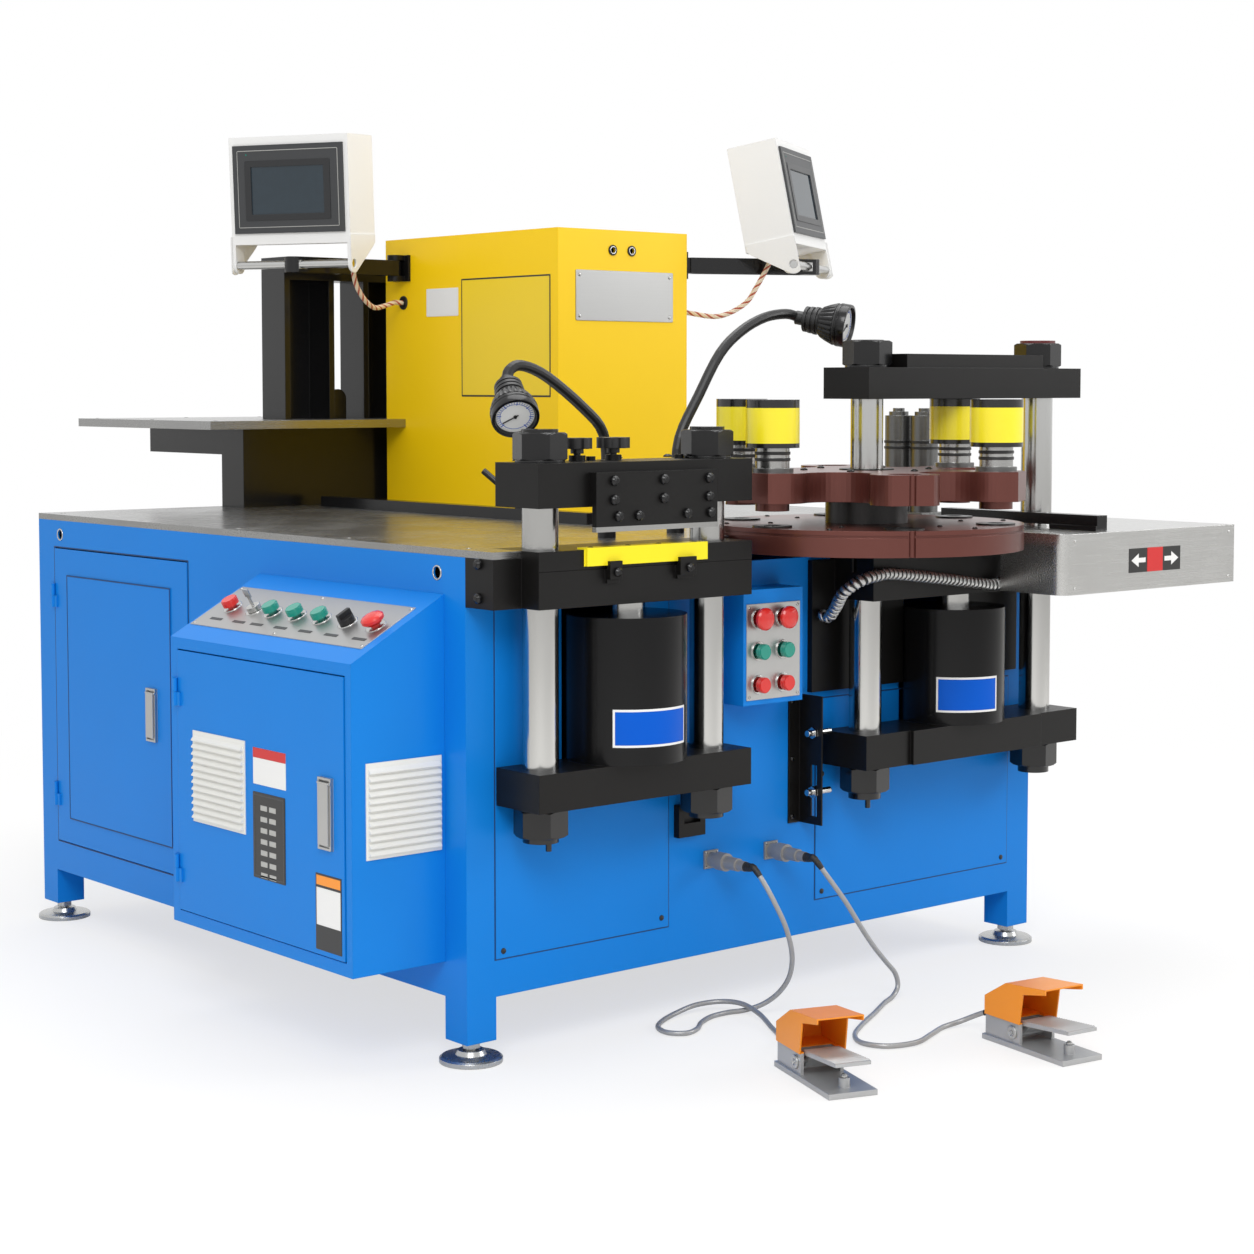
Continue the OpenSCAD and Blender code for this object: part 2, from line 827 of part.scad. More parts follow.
module tool_disc() {
    h = tool_disc_t;
    color("slategray") at_hub(tool_z) {
        difference() {
            union() {
                linear_extrude(h)
                    polygon(tool_disc_outline());
                // tool holders
                for (a = stations)
                    at_station(a) {
                        translate([0, 0, -14.4])
                            cylinder(r = shank_d / 2, h = h + 96.4);
                        translate([0, 0, h - 1])
                            cylinder(r = 37, h = 9);
                        for (z = [21, 32])
                            translate([0, 0, h + z])
                                cylinder(r = 31.5, h = 5);
                    }
            }
            translate([0, 0, -1])
                cylinder(r = post_d / 2 + 2 * fit, h = h + 2, $fn = 72);
            for (a = stations)
                at_station(a)
                    translate([0, 0, -20])
                        cylinder(r = punch_rod_r + fit, h = 200);
            for (a = [60, 240])
                at_station(a)
                    translate([0, 0, -1])
                        cylinder(r = shank_d / 2, h = h + 2);
            // alignment groove
            rotate([0, 0, -120])
                translate([disc_r, 0, -1])
                    cylinder(r = 6, h = h + 2);
        }
    }
}

module die_disc() {
    color("silver") at_hub(disc_z)
        difference() {
            union() {
                cylinder(r = disc_r, h = die_disc_t, $fn = 120);
                cylinder(r = hub_d / 2, h = die_disc_t + disc_gap, $fn = 60);
                for (a = [0 : 60 : 300])
                    at_station(a)
                        cylinder(r = 35, h = die_disc_t + 3);
            }
            translate([0, 0, -1])
                cylinder(r = post_d / 2 + 2 * fit, h = 200, $fn = 72);
            for (a = [0 : 60 : 300])
                at_station(a)
                    translate([0, 0, -1])
                        cylinder(r = punch_rod_r + slip, h = 100);
            translate([0, 0, die_disc_t - 12])
                ring(disc_r + 5, disc_r - 2.5, 4);
            rotate([0, 0, -120])
                translate([disc_r, 0, -1])
                    cylinder(r = 6, h = die_disc_t + 2);
        }
}

// sprung canister with its punch
module punch_head(a) {
    r = canister_d / 2;
    color("orange") at_hub(0)
        at_station(a) {
            difference() {
                translate([0, 0, canister_z])
                    cylinder(r = r, h = head_z - canister_z);
                translate([0, 0, canister_z - 1])
                    cylinder(r = 33, h = head_z - canister_z - 11.5);
            }
            translate([0, 0, tool_z - 13])
                cylinder(r = punch_rod_r, h = head_z - tool_z + 8);
        }
}

module punch_head_1() {
    punch_head(stations[0]);
}

module punch_head_2() {
    punch_head(stations[1]);
}

module punch_head_3() {
    punch_head(stations[2]);
}

module punch_head_4() {
    punch_head(stations[3]);
}

module spare_tools() {
    color("silver") placed() {
        block([1282, 186, table_z], [1358, 314, table_z + 8]);
        for (p = [[1314, 280], [1324, 218]])
            translate([p[0], p[1], table_z + 8 - eps]) {
                cylinder(r = 28, h = 196);
                cylinder(r = 20, h = 204);
                cylinder(r = 12, h = 211);
                for (z = [128, 140])
                    translate([0, 0, z])
                        cylinder(r = 29.5, h = 5);
            }
    }
}

// ---------------------------------------------------------------- gauge table

// block with one rounded upright edge at its near left
module rounded_block(from, to, r) {
    block([from[0] + r, from[1], from[2]], to);
    block([from[0], from[1] + r, from[2]], to);
    translate([from[0] + r, from[1] + r, from[2]])
        cylinder(r = r, h = to[2] - from[2]);
}

module gauge_trough() {
    x1 = trough_x + trough_w;
    z0 = trough_z - trough_h;
    color("silver") placed()
        difference() {
            rounded_block([trough_x, trough_y, z0], [x1, 170, trough_z], 25);
            rounded_block([trough_x + 3, trough_y + 3, z0 - 1], [x1 - 3, 167, trough_z - 3], 22);
            // open towards the turret and the cabinet
            block([trough_x - 1, -137, z0 - 1], [trough_x + 30, 400, trough_z - 3]);
            block([trough_x - 1, 0, z0 - 1], [cab_w, 400, trough_z + 1]);
            translate([hub_x, press_y, z0 - 1])
                cylinder(r = disc_r + 6, h = trough_h + 5, $fn = 96);
            translate([punch_x + punch_span / 2, press_y, z0 - 1])
                cylinder(r = rod_d / 2 + 4, h = trough_h + 5);
        }
}

module gauge_fence() {
    z = table_z + slip;
    x1 = punch_x + punch_span / 2 - rod_d / 2 - 5;
    color("black") placed() {
        block([x1 - 29, -262, z], [x1, 130, z + 21]);
        block([x1 - 33, -262, trough_z + slip], [x1, -150, z + 1]);
    }
}

module wrapped_hose() {
    color("dimgray") placed()
        swept_tube(smooth(hose_route, 4), 11, 12, [1, 0, 0.2]);
}

// ---------------------------------------------------------------- pendant

module pendant_box() {
    color("lightgray") placed()
        translate(pend)
            difference() {
                union() {
                    cube(pend_size);
                    block([7, -1.5, 9], [137, 1, 179]);
                    for (x = pend_cols, z = pend_rows)
                        translate([x, 0, z])
                            rotate([90, 0, 0])
                                cylinder(r = button_d / 2 + 2, h = 4);
                }
                for (x = pend_cols, z = pend_rows)
                    translate([x, 30, z])
                        rotate([90, 0, 0])
                            cylinder(r = 8 + fit, h = 40);
            }
}

// push button along +Z: its stem reaches into the housing below z = 0
module push_button(d, h, lift) {
    translate([0, 0, -18])
        cylinder(r = 8, h = lift + 19);
    translate([0, 0, lift]) {
        cylinder(r = d / 2, h = h - 2);
        cylinder(r = d / 2 - 1.5, h = h);
    }
}

// mushroom head along +Z
module mushroom_button(d, lift) {
    translate([0, 0, -18])
        cylinder(r = 8, h = lift + 19);
    translate([0, 0, lift])
        rotate_extrude()
            polygon([[0, 0], [d / 2 - 5, 0], [d / 2, 5], [d / 2, 10], [d / 2 - 3, 13],
                [d / 2 - 9, 15], [0, 16]]);
}

module pendant_button(i, j) {
    placed()
        translate(pend + [pend_cols[i], -4, pend_rows[j]])
            rotate([90, 0, 0])
                children();
}

module pendant_mushroom_1() {
    color("red")
        pendant_button(0, 0)
            mushroom_button(mushroom_d, button_travel + 2);
}

module pendant_mushroom_2() {
    color("red")
        pendant_button(1, 0)
            mushroom_button(mushroom_d, button_travel + 2);
}

module pendant_green_1() {
    color("limegreen")
        pendant_button(0, 1)
            push_button(button_d - 2, 11, button_travel + 1);
}

module pendant_green_2() {
    color("limegreen")
        pendant_button(1, 1)
            push_button(button_d - 2, 11, button_travel + 1);
}

module pendant_red_1() {
    color("red")
        pendant_button(0, 2)
            push_button(button_d - 2, 11, button_travel + 1);
}

module pendant_red_2() {
    color("red")
        pendant_button(1, 2)
            push_button(button_d - 2, 11, button_travel + 1);
}

// ---------------------------------------------------------------- control box

// sloped box profile, set in by t on every side
module box_profile(t) {
    x = box_d - t;
    z0 = box_z + t;
    z1 = box_z + box_front_h - t * tan(slope / 2) - t * 0.2;
    polygon([[-t * 0.4, z0], [-x, z0], [-x, z1], [-t * 0.4, z1 + (x - t * 0.4) * tan(slope)]]);
}

module control_box() {
    color("gold") placed() {
        difference() {
            translate([0, box_y + box_w, 0])
                rotate([90, 0, 0])
                    linear_extrude(box_w)
                        box_profile(0);
            translate([0, box_y + box_w - box_wall, 0])
                rotate([90, 0, 0])
                    linear_extrude(box_w - 2 * box_wall)
                        box_profile(box_wall);
            block([-box_d - 1, cdoor_y - door_gap, cdoor_z - door_gap],
                [-box_d + box_wall + 1, cdoor_y + cdoor_w + door_gap, cdoor_z + cdoor_h + door_gap]);
            for (y = row_y)
                on_slope(row_s, y)
                    translate([0, 0, -20])
                        cylinder(r = 8 + fit, h = 40);
        }
        hinge_halves(-box_d - leaf_proud, cdoor_y + cdoor_w, cdoor_z, cdoor_h, true);
        translate([-157, box_y, 354])
            vent(149, 157, 12);
    }
    // sheet steel panel and the controls' bezels
    color("silver") placed()
        difference() {
            union() {
                on_slope(41, 80)
                    translate([0, 0, -eps])
                        cube([123, 537, panel_t]);
                for (y = row_y)
                    on_slope(row_s, y)
                        translate([0, 0, panel_t / 2])
                            cylinder(r = button_d / 2 + 3, h = panel_t / 2 + bezel_t);
            }
            for (y = row_y)
                on_slope(row_s, y)
                    translate([0, 0, -20])
                        cylinder(r = 8 + fit, h = 40);
        }
}

// knuckles on a door's hinge line: the frame's half above, the leaf's half below
module hinge_halves(x, y, z, h, fixed) {
    for (k = [0.16, 0.84])
        translate([x - 4, y + 1, z + h * k + (fixed ? slip : -24)]) {
            cylinder(r = 4, h = 24);
            if (fixed)
                block([0, 0, 0], [4 + leaf_proud + eps, 12, 24]);
            else
                block([0, -14, 0], [4 + eps, 0, 24]);
        }
}

module door_leaf(x, y, z, w, h) {
    translate([x, y + w, z])
        rotate([0, 0, -90])
            leaf(w, h);
    hinge_halves(x, y + w, z, h, false);
}

// recessed paddle plate on a door: the fixed dish
module paddle_dish(x, y, z, w, h) {
    difference() {
        block([x - 6, y, z], [x + eps, y + w, z + h]);
        block([x - 7, y + 4, z + 4], [x - 2, y + w - 4, z + h - 4]);
        translate([x - 6 + 1, y - 1, z + h - 9])
            rotate([-90, 0, 0])
                cylinder(r = 2.5 + fit, h = w + 2);
    }
}

// the paddle, swinging on its upper pin
module paddle(x, y, z, w, h) {
    translate([x - 5, y, z + h - 9])
        rotate([-90, 0, 0])
            cylinder(r = 2.5, h = w);
    block([x - 9, y + 4 + slip, z + 8], [x - 4, y + w - 4 - slip, z + h - 7]);
}

module control_door() {
    color("gold") placed() {
        door_leaf(-box_d - leaf_proud, cdoor_y, cdoor_z, cdoor_w, cdoor_h);
        translate([-box_d - leaf_proud, box_y + box_w - 79, 355])
            rotate([0, 0, -90])
                vent(171, 160, 12);
        paddle_dish(-box_d - leaf_proud, 107, 366, 38, 118);
    }
}

module control_latch() {
    color("black") placed()
        paddle(-box_d - leaf_proud, 107, 366, 38, 118);
}

module side_door() {
    color("dodgerblue") placed() {
        door_leaf(-leaf_proud, door_y, door_z, side_door_w, side_door_h);
        block([-leaf_proud - 2, door_y + 63, door_z + 53],
            [-leaf_proud + eps, door_y + side_door_w - 58, door_z + side_door_h - 55]);
        paddle_dish(-leaf_proud - 2, door_y + 114, door_z + 251, 36, 104);
    }
}

module side_latch() {
    color("black") placed()
        paddle(-leaf_proud - 2, door_y + 114, door_z + 251, 36, 104);
}

module control_button(i) {
    placed()
        on_slope(row_s, row_y[i])
            translate([0, 0, panel_t + bezel_t])
                children();
}

module red_button() {
    color("red")
        control_button(0)
            push_button(button_d, 12, button_travel + 1);
}

// key in a round lock with its tag hanging on the slope
module key_switch() {
    color("silver")
        control_button(1) {
            translate([0, 0, -18])
                cylinder(r = 8, h = 19);
            translate([0, 0, slip])
                cylinder(r = 13, h = 9);
            translate([-1, -4, 8])
                cube([2, 8, 24]);
            translate([-1.2, -9, 26])
                cube([2.4, 18, 16]);
        }
}

module green_button_1() {
    color("limegreen")
        control_button(2)
            push_button(button_d, 12, button_travel + 1);
}

module green_button_2() {
    color("limegreen")
        control_button(3)
            push_button(button_d, 12, button_travel + 1);
}

module green_button_3() {
    color("limegreen")
        control_button(4)
            push_button(button_d, 12, button_travel + 1);
}

module selector() {
    color("black")
        control_button(5) {
            translate([0, 0, -18])
                cylinder(r = 8, h = 19);
            translate([0, 0, slip])
                cylinder(r = 14, h = 10);
            translate([-13, -4, 8])
                cube([26, 8, 12]);
        }
}

module stop_mushroom() {
    color("red")
        control_button(6)
            mushroom_button(mushroom_d, button_travel + 2);
}

// mounting plate, relays, breakers, transformer and terminals
module switchgear() {
    near = box_y + 42;
    far = box_y + box_w - 35;
    row = near + 30;
    relay = 62;
    color("lightgray") placed() {
        block([-8, near, 190], [-1, far, 640]);
        for (z = [300, 430, 560])
            block([-16, near + 20, z], [-8, far - 20, z + 35]);
        for (i = [0 : floor((far - row - 180) / relay)])
            block([-90, row + i * relay, 412], [-16, row + i * relay + 48, 484]);
        for (i = [0 : 9])
            block([-76, row + i * 20, 545], [-16, row + i * 20 + 18, 628]);
        block([-108, far - 210, 538], [-16, far - 90, 638]);
        for (i = [0 : floor((far - row - 124) / 14)])
            block([-52, row + i * 14, 288], [-16, row + i * 14 + 12, 346]);
        block([-120, far - 120, 196], [-8, far - 20, 286]);
        block([-96, far - 106, 404], [-16, far - 30, 500]);
        for (y = [near + 4, far - 12])
            block([-40, y, 200], [-8, y + 8, 636]);
        for (z = [[372, 400], [506, 532]])
            block([-40, near + 12, z[0]], [-8, far - 12, z[1]]);
    }
}

// oil tank, motor, valve block and filter inside the cabinet
module hydraulic_unit() {
    z0 = apron_z + wall;
    top = z0 + 330;
    color("silver") placed() {
        block([340, 560, z0], [860, 1010, top]);
        block([330, 550, top], [870, 1020, top + 8]);
        translate([480, 790, top + 8]) {
            cylinder(r = 110, h = 14);
            cylinder(r = 86, h = 260);
            for (a = [0 : 15 : 345])
                rotate([0, 0, a])
                    translate([84, -1.5, 30])
                        cube([10, 3, 180]);
            cylinder(r = 92, h = 24);
            translate([0, 0, 258])
                cylinder(r = 80, h = 40);
        }
        block([640, 640, top + 8], [760, 880, top + 108]);
        for (y = [656, 726, 796])
            translate([0, y, top + 108]) {
                block([660, 0, 0], [740, 50, 48]);
                translate([620, 25, 25])
                    rotate([0, 90, 0])
                        cylinder(r = 20, h = 160);
            }
        translate([800, 940, top + 8]) {
            cylinder(r = 34, h = 90);
            cylinder(r = 40, h = 20);
        }
        for (x = [[660, 452], [740, 764]])
            swept_tube(smooth([[x[0], 641, top + 60], [x[0], 600, top + 60],
                [x[0] * 0.7 + x[1] * 0.3, 420, top + 130], [x[1], 220, top + 60],
                [x[1], 120, top + 12], [x[1], 60, top + 10],
                [x[1], wall + 1.5, top + 10]], 4), 11, 12);
    }
}

// ---------------------------------------------------------------- screens

bar_left = bar_centre(hinge_l, bearing_l, reach_l);
bar_right = bar_centre(hinge_r, bearing_r, reach_r);

// hollow arm from its hinge at the origin along +X to the tilt bar, turned by a
module screen_arm(hinge, bearing, reach, face) {
    h = arm_h - slip;
    color("gray") placed()
        translate([hinge[0], hinge[1], arm_z]) {
            rotate([0, 0, bearing])
                difference() {
                    union() {
                        translate([0, -arm_w / 2, 0])
                            cube([reach, arm_w, h]);
                        cylinder(r = arm_w / 2 - 4.5, h = h);
                        translate([reach, 0, 0])
                            cylinder(r = arm_w / 2, h = h);
                    }
                    translate([-arm_w, -arm_w, -1])
                        cube([arm_w, 2 * arm_w, 0.9]);
                    translate([24, -arm_w / 2 + 3, -1])
                        cube([reach - 46, arm_w - 6, h - 2]);
                    translate([0, 0, -1])
                        cylinder(r = 8 + fit, h = h + 2);
                    for (k = [-1, 1])
                        translate([-30, k > 0 ? 15.5 : -arm_w, -1])
                            cube([47, arm_w - 15.5, h + 2]);
                }
            translate([reach * cos(bearing), reach * sin(bearing), arm_h / 2])
                rotate([0, 0, face])
                    translate([-bar_l / 2, 0, 0])
                        rotate([0, 90, 0])
                            cylinder(r = bar_r, h = bar_l);
        }
}

module screen_arm_left() {
    screen_arm(hinge_l, bearing_l, reach_l, face_l);
}

module screen_arm_right() {
    screen_arm(hinge_r, bearing_r, reach_r, face_r);
}

// case with its display and two ears on the tilt bar; local origin on the bar
module screen_case(bar, face, tilt, gland) {
    w = screen_w / 2;
    back = screen_d - case_front;
    color("gray") placed()
        translate(bar)
            rotate([0, 0, face])
                rotate([-tilt, 0, 0]) {
                    difference() {
                        block([-w, -case_front, case_up], [w, back, case_up + screen_h]);
                        block([-w + 2.5, -case_front + 2.5, case_up + 2.5],
                            [w - 2.5, back - 2.5, case_up + screen_h - 2.5]);
                    }
                    // display unit with its glass set back
                    difference() {
                        block([-134, -case_front - 5, case_up + 24],
                            [134, -case_front + eps, case_up + 212]);
                        block([-90, -case_front - 6, case_up + 64],
                            [88, -case_front - 3.5, case_up + 166]);
                    }
                    for (x = [-w, w - ear_t])
                        difference() {
                            union() {
                                block([x, -case_front, 0], [x + ear_t, 26, case_up + eps]);
                                translate([x, 8, 0])
                                    rotate([0, 90, 0])
                                        cylinder(r = 18, h = ear_t);
                            }
                            translate([x - 1, 0, 0])
                                rotate([0, 90, 0])
                                    cylinder(r = bar_r + fit, h = ear_t + 2);
                        }
                    translate([gland[0], gland[1], case_up - 12])
                        cylinder(r = 8, h = 12 + eps);
                }
}

module screen_case_left() {
    screen_case(bar_left, face_l, tilt_l, gland_l);
}

module screen_case_right() {
    screen_case(bar_right, face_r, tilt_r, gland_r);
}

function hanging(bar, face, tilt, gland, drop) =
    on_case(bar, face, tilt, [gland[0], gland[1], case_up - 12 - drop]);

module screen_cable_left() {
    route = [for (d = [slip, 8, 16]) hanging(bar_left, face_l, tilt_l, gland_l, d),
        [626, 1240, 1342], [655, 1252, 1306], [700, 1276, 1286], [744, 1298, 1291],
        for (d = [25, 14, 3.5]) [hood_x - d, 1305, 1299]];
    color("lightgray") placed()
        swept_tube(smooth(route, 4), 5.5, 10, [1, 0.2, 0.1]);
}

module screen_cable_right() {
    route = [for (d = [slip, 8, 16]) hanging(bar_right, face_r, tilt_r, gland_r, d),
        [1312, 702, 1330], [1294, 722, 1292], [1252, 756, 1266], [1212, 802, 1272],
        for (d = [25, 14, 3.5]) [hood_x + hood_w + d, 820, 1280]];
    color("lightgray") placed()
        swept_tube(smooth(route, 4), 5.5, 10, [1, 0.2, 0.1]);
}

// ---------------------------------------------------------------- cords and pedals

module connectors() {
    color("silver") placed()
        for (s = [socket_1, socket_2])
            translate(s)
                rotate([90, 0, 0]) {
                    block([-16, -16, 0], [16, 16, 4]);
                    cylinder(r = 13, h = 26);
                    translate([0, 0, 22])
                        cylinder(r = 16, h = 22);
                    cylinder(r = 11.5, h = 74);
                    translate([0, 0, 60])
                        cylinder(r = 9, h = plug_l - 60);
                }
}

// end of a cord's route, straight into the pedal's gland
function into_pedal(q) = [for (d = [42, 20, 0]) on_pedal(q, gland_end + [0, d, 0])];

module cord_left() {
    color("dimgray") placed()
        swept_tube(smooth(concat(cord_route_1, into_pedal(pedal_1)), 4), cord_r, 8, [1, 0, 0.2]);
}

module cord_right() {
    color("dimgray") placed()
        swept_tube(smooth(concat(cord_route_2, into_pedal(pedal_2)), 4), cord_r, 8, [1, 0, 0.2]);
}

module at_pedal(q) {
    placed()
        translate([q[0], q[1], 0])
            rotate([0, 0, q[2]])
                children();
}

// side outline of the guard, from the rear foot over the hood to the front lip
module guard_outline(t) {
    polygon([[98 - t, 44], [98 - t, 76 - t / 2], [44, 108 - t], [-26, 114 - t], [-56, 117 - t],
        [-56, 108], [0, 97], [8, 44]]);
}

// base plate, body, spring post and guard
module pedal_base() {
    w = pedal_w / 2;
    l = pedal_l / 2;
    difference() {
        union() {
            block([-w, -l, 0], [w, l, 9]);
            block([-w + 4, 44, 8], [w - 4, 98, 46]);
            for (x = [-w + 4, w - 10])
                block([x, 10, 8], [x + 6, 46, 46]);
            translate([0, -70, 8])
                cylinder(r = 9, h = 16);
            translate([0, 97, 28])
                rotate([-90, 0, 0])
                    cylinder(r = 7, h = 9);
            // guard
            difference() {
                translate([-w + 1, 0, 0])
                    rotate([90, 0, 90])
                        linear_extrude(pedal_w - 2)
                            guard_outline(0);
                translate([-w + 3.5, 0, 0])
                    rotate([90, 0, 90])
                        linear_extrude(pedal_w - 7)
                            guard_outline(2.5);
            }
        }
        translate([-w, treadle_y, treadle_z])
            rotate([0, 90, 0])
                cylinder(r = 4 + fit, h = pedal_w);
    }
}

module pedal_bases() {
    color("orange") {
        at_pedal(pedal_1)
            pedal_base();
        at_pedal(pedal_2)
            pedal_base();
    }
}

// ribbed tread on a cross pin, rising towards its free end
module treadle() {
    w = pedal_w / 2;
    translate([-w + 2, treadle_y, treadle_z])
        rotate([0, 90, 0])
            cylinder(r = 4, h = pedal_w - 4);
    translate([-24, treadle_y, treadle_z])
        rotate([0, 90, 0])
            cylinder(r = 9, h = 48);
    translate([-24, 0, 0])
        rotate([90, 0, 90])
            linear_extrude(48)
                polygon([[treadle_y + 8, treadle_z + 2], [treadle_y + 4, treadle_z + 14],
                    [treadle_y - 30, 47], [treadle_y - 30, 41], [treadle_y - 8, treadle_z - 3]]);
    translate([-31, 0, 0])
        rotate([90, 0, 90])
            linear_extrude(62)
                polygon(concat([[treadle_y - 8, 47], [treadle_y - 8, 40], [-102, 50],
                    [-102, 56]],
                    [for (i = [0 : 18], k = [0, 1])
                        let (y = -98 + i * 6 + k * 3) [y, 56 - (y + 102) * 0.072 + (k > 0 ? 2 : 0)]]));
}

module treadle_left() {
    color("black")
        at_pedal(pedal_1)
            treadle();
}

module treadle_right() {
    color("black")
        at_pedal(pedal_2)
            treadle();
}

// ---------------------------------------------------------------- nodes

cabinet();
levelling_feet();
worktops();
bend_frame();
housing();
gauges();
cut_bed();
punch_bracket();
spare_tools();
gauge_trough();
pendant_box();
control_box();
switchgear();
hydraulic_unit();
pedal_bases();
connectors();
wrapped_hose();
cord_left();
cord_right();
gauge_fence();
control_door();
control_latch();
side_door();
side_latch();
cut_beam();
cut_yoke();
cut_tie_rods();
blade_holder();
star_knob_left();
star_knob_right();
punch_beam();
punch_yoke();
punch_tie_rods();
tool_disc();
die_disc();
punch_head_1();
punch_head_2();
punch_head_3();
punch_head_4();
screen_case_left();
screen_case_right();
screen_arm_left();
screen_arm_right();
screen_cable_left();
screen_cable_right();
treadle_left();
treadle_right();
red_button();
key_switch();
green_button_1();
green_button_2();
green_button_3();
selector();
stop_mushroom();
pendant_mushroom_1();
pendant_mushroom_2();
pendant_green_1();
pendant_green_2();
pendant_red_1();
pendant_red_2();
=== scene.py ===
"""Busbar processing machine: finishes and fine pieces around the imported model.

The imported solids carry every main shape. This script gives each of them its finish and
adds what is thin or flexible: cords, wrapped hose, display cables, dials, plates, nuts,
screws and rivets. Sizes and places are in millimetres, counted from the cabinet's near
lower corner, and `Layout` moves them to the frame's origin in metres.
"""
from __future__ import annotations

import logging
import math
from dataclasses import dataclass
from enum import Enum
from typing import Callable, Sequence, Union

import bmesh
import bpy
from mathutils import Euler, Matrix, Vector

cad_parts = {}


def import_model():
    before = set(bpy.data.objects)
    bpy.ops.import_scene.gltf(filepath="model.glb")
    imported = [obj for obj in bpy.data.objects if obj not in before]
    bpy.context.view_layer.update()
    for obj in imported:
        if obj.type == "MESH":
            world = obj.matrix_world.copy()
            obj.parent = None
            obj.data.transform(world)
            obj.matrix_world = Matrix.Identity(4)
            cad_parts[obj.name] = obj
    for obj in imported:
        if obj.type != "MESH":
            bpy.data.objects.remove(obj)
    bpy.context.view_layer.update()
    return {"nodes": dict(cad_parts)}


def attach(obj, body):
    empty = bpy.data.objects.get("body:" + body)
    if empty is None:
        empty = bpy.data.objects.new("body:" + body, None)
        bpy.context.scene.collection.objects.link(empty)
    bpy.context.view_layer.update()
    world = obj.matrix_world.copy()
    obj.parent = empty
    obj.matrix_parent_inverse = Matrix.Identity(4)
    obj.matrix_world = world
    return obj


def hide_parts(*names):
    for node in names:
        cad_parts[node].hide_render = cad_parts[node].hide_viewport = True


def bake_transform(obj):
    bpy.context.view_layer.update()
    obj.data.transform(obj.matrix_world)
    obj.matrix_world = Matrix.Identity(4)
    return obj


LOG = logging.getLogger("busbar_machine")
MM = 0.001
FULL_TURN = 2.0 * math.pi

Point = tuple[float, float, float]
Spot = tuple[float, float]
BMesh = bmesh.types.BMesh
Ring = list[bmesh.types.BMVert]
Fill = Callable[[BMesh], None]
Tree = bpy.types.NodeTree
Value = Union[bpy.types.NodeSocket, float, str, Sequence[float]]

FRONT = (0.0, -1.0, 0.0)
LEFT = (-1.0, 0.0, 0.0)
BACK = (0.0, 1.0, 0.0)
RIGHT = (1.0, 0.0, 0.0)
UP = (0.0, 0.0, 1.0)


# ------------------------------------------------------------------ layout


@dataclass(frozen=True)
class Layout:
    """Where things stand, in millimetres from the cabinet's near lower corner."""

    foot_inset: float = 30.0

    def place(self, x: float, y: float, z: float) -> Vector:
        """Returns the frame's point, in metres, for a place on the machine."""
        return Vector(((x - self.foot_inset) * MM, (y - self.foot_inset) * MM, z * MM))

    def places(self, points: Sequence[Sequence[float]]) -> list[Vector]:
        """Returns the frame's points for a list of places."""
        return [self.place(*p) for p in points]


LAYOUT = Layout()


@dataclass(frozen=True)
class LocalFrame:
    """A turned frame on the machine: its origin and its Euler turn in degrees."""

    origin: Point
    turn: Point = (0.0, 0.0, 0.0)

    def matrix(self) -> Matrix:
        """Returns the matrix from this frame, in metres, to the part's frame."""
        angles = Euler([math.radians(a) for a in self.turn])
        return Matrix.Translation(LAYOUT.place(*self.origin)) @ angles.to_matrix().to_4x4()


CORNER = LocalFrame((0.0, 0.0, 0.0))
PANEL_ANGLE = math.atan(102.0 / 184.0)
PANEL = LocalFrame((-184.0, 0.0, 673.0), (0.0, -math.degrees(PANEL_ANGLE), 0.0))
PANEL_OUT = (-math.sin(PANEL_ANGLE), 0.0, math.cos(PANEL_ANGLE))
TURRET = (867.0, -60.0)
LEFT_HINGE = (778.0, 1308.0)
RIGHT_HINGE = (1178.0, 800.0)
PIVOT_Z = 1375.0
LEFT_GROMMET = (800.0, 1305.0, 1299.0)
RIGHT_GROMMET = (1156.0, 820.0, 1280.0)


def on_panel(s: float, y: float, z: float) -> Point:
    """Returns the machine's point for a place on the sloped panel.

    Args:
        s: Distance up the slope from its lower edge.
        y: Distance along the panel.
        z: Height above the panel's face.

    Returns:
        The point in millimetres.
    """
    x0, _, z0 = PANEL.origin
    out_x, _, out_z = PANEL_OUT
    return (x0 + s * out_z + z * out_x, y, z0 - s * out_x + z * out_z)


def bar_centre(hinge: Spot, bearing: float, reach: float) -> Point:
    """Finds the middle of the tilt bar at the end of a screen arm.

    Args:
        hinge: Place of the arm's hinge pin.
        bearing: Direction of the arm in degrees, counted from +X.
        reach: Length of the arm.

    Returns:
        The bar's middle in millimetres.
    """
    a = math.radians(bearing)
    return (hinge[0] + reach * math.cos(a), hinge[1] + reach * math.sin(a), PIVOT_Z)


def grid(xs: Sequence[float], ys: Sequence[float], zs: Sequence[float]) -> tuple[Point, ...]:
    """Returns every place that joins one of each set of coordinates."""
    return tuple((x, y, z) for z in zs for y in ys for x in xs)


def bolt_circle(radii: Sequence[float], z: float, count: int = 6) -> tuple[Point, ...]:
    """Returns evenly spaced places round the turret's axis, for each radius."""
    angles = [FULL_TURN * (k + 0.5) / count for k in range(count)]
    return tuple((TURRET[0] + r * math.cos(a), TURRET[1] + r * math.sin(a), z)
                 for a in angles for r in radii)


LEFT_SCREEN = LocalFrame(bar_centre(LEFT_HINGE, 180.0, 263.0), (3.0, 0.0, -62.4))
RIGHT_SCREEN = LocalFrame(bar_centre(RIGHT_HINGE, -25.0, 298.0), (-11.0, 0.0, 31.0))


# ------------------------------------------------------------------ finishes


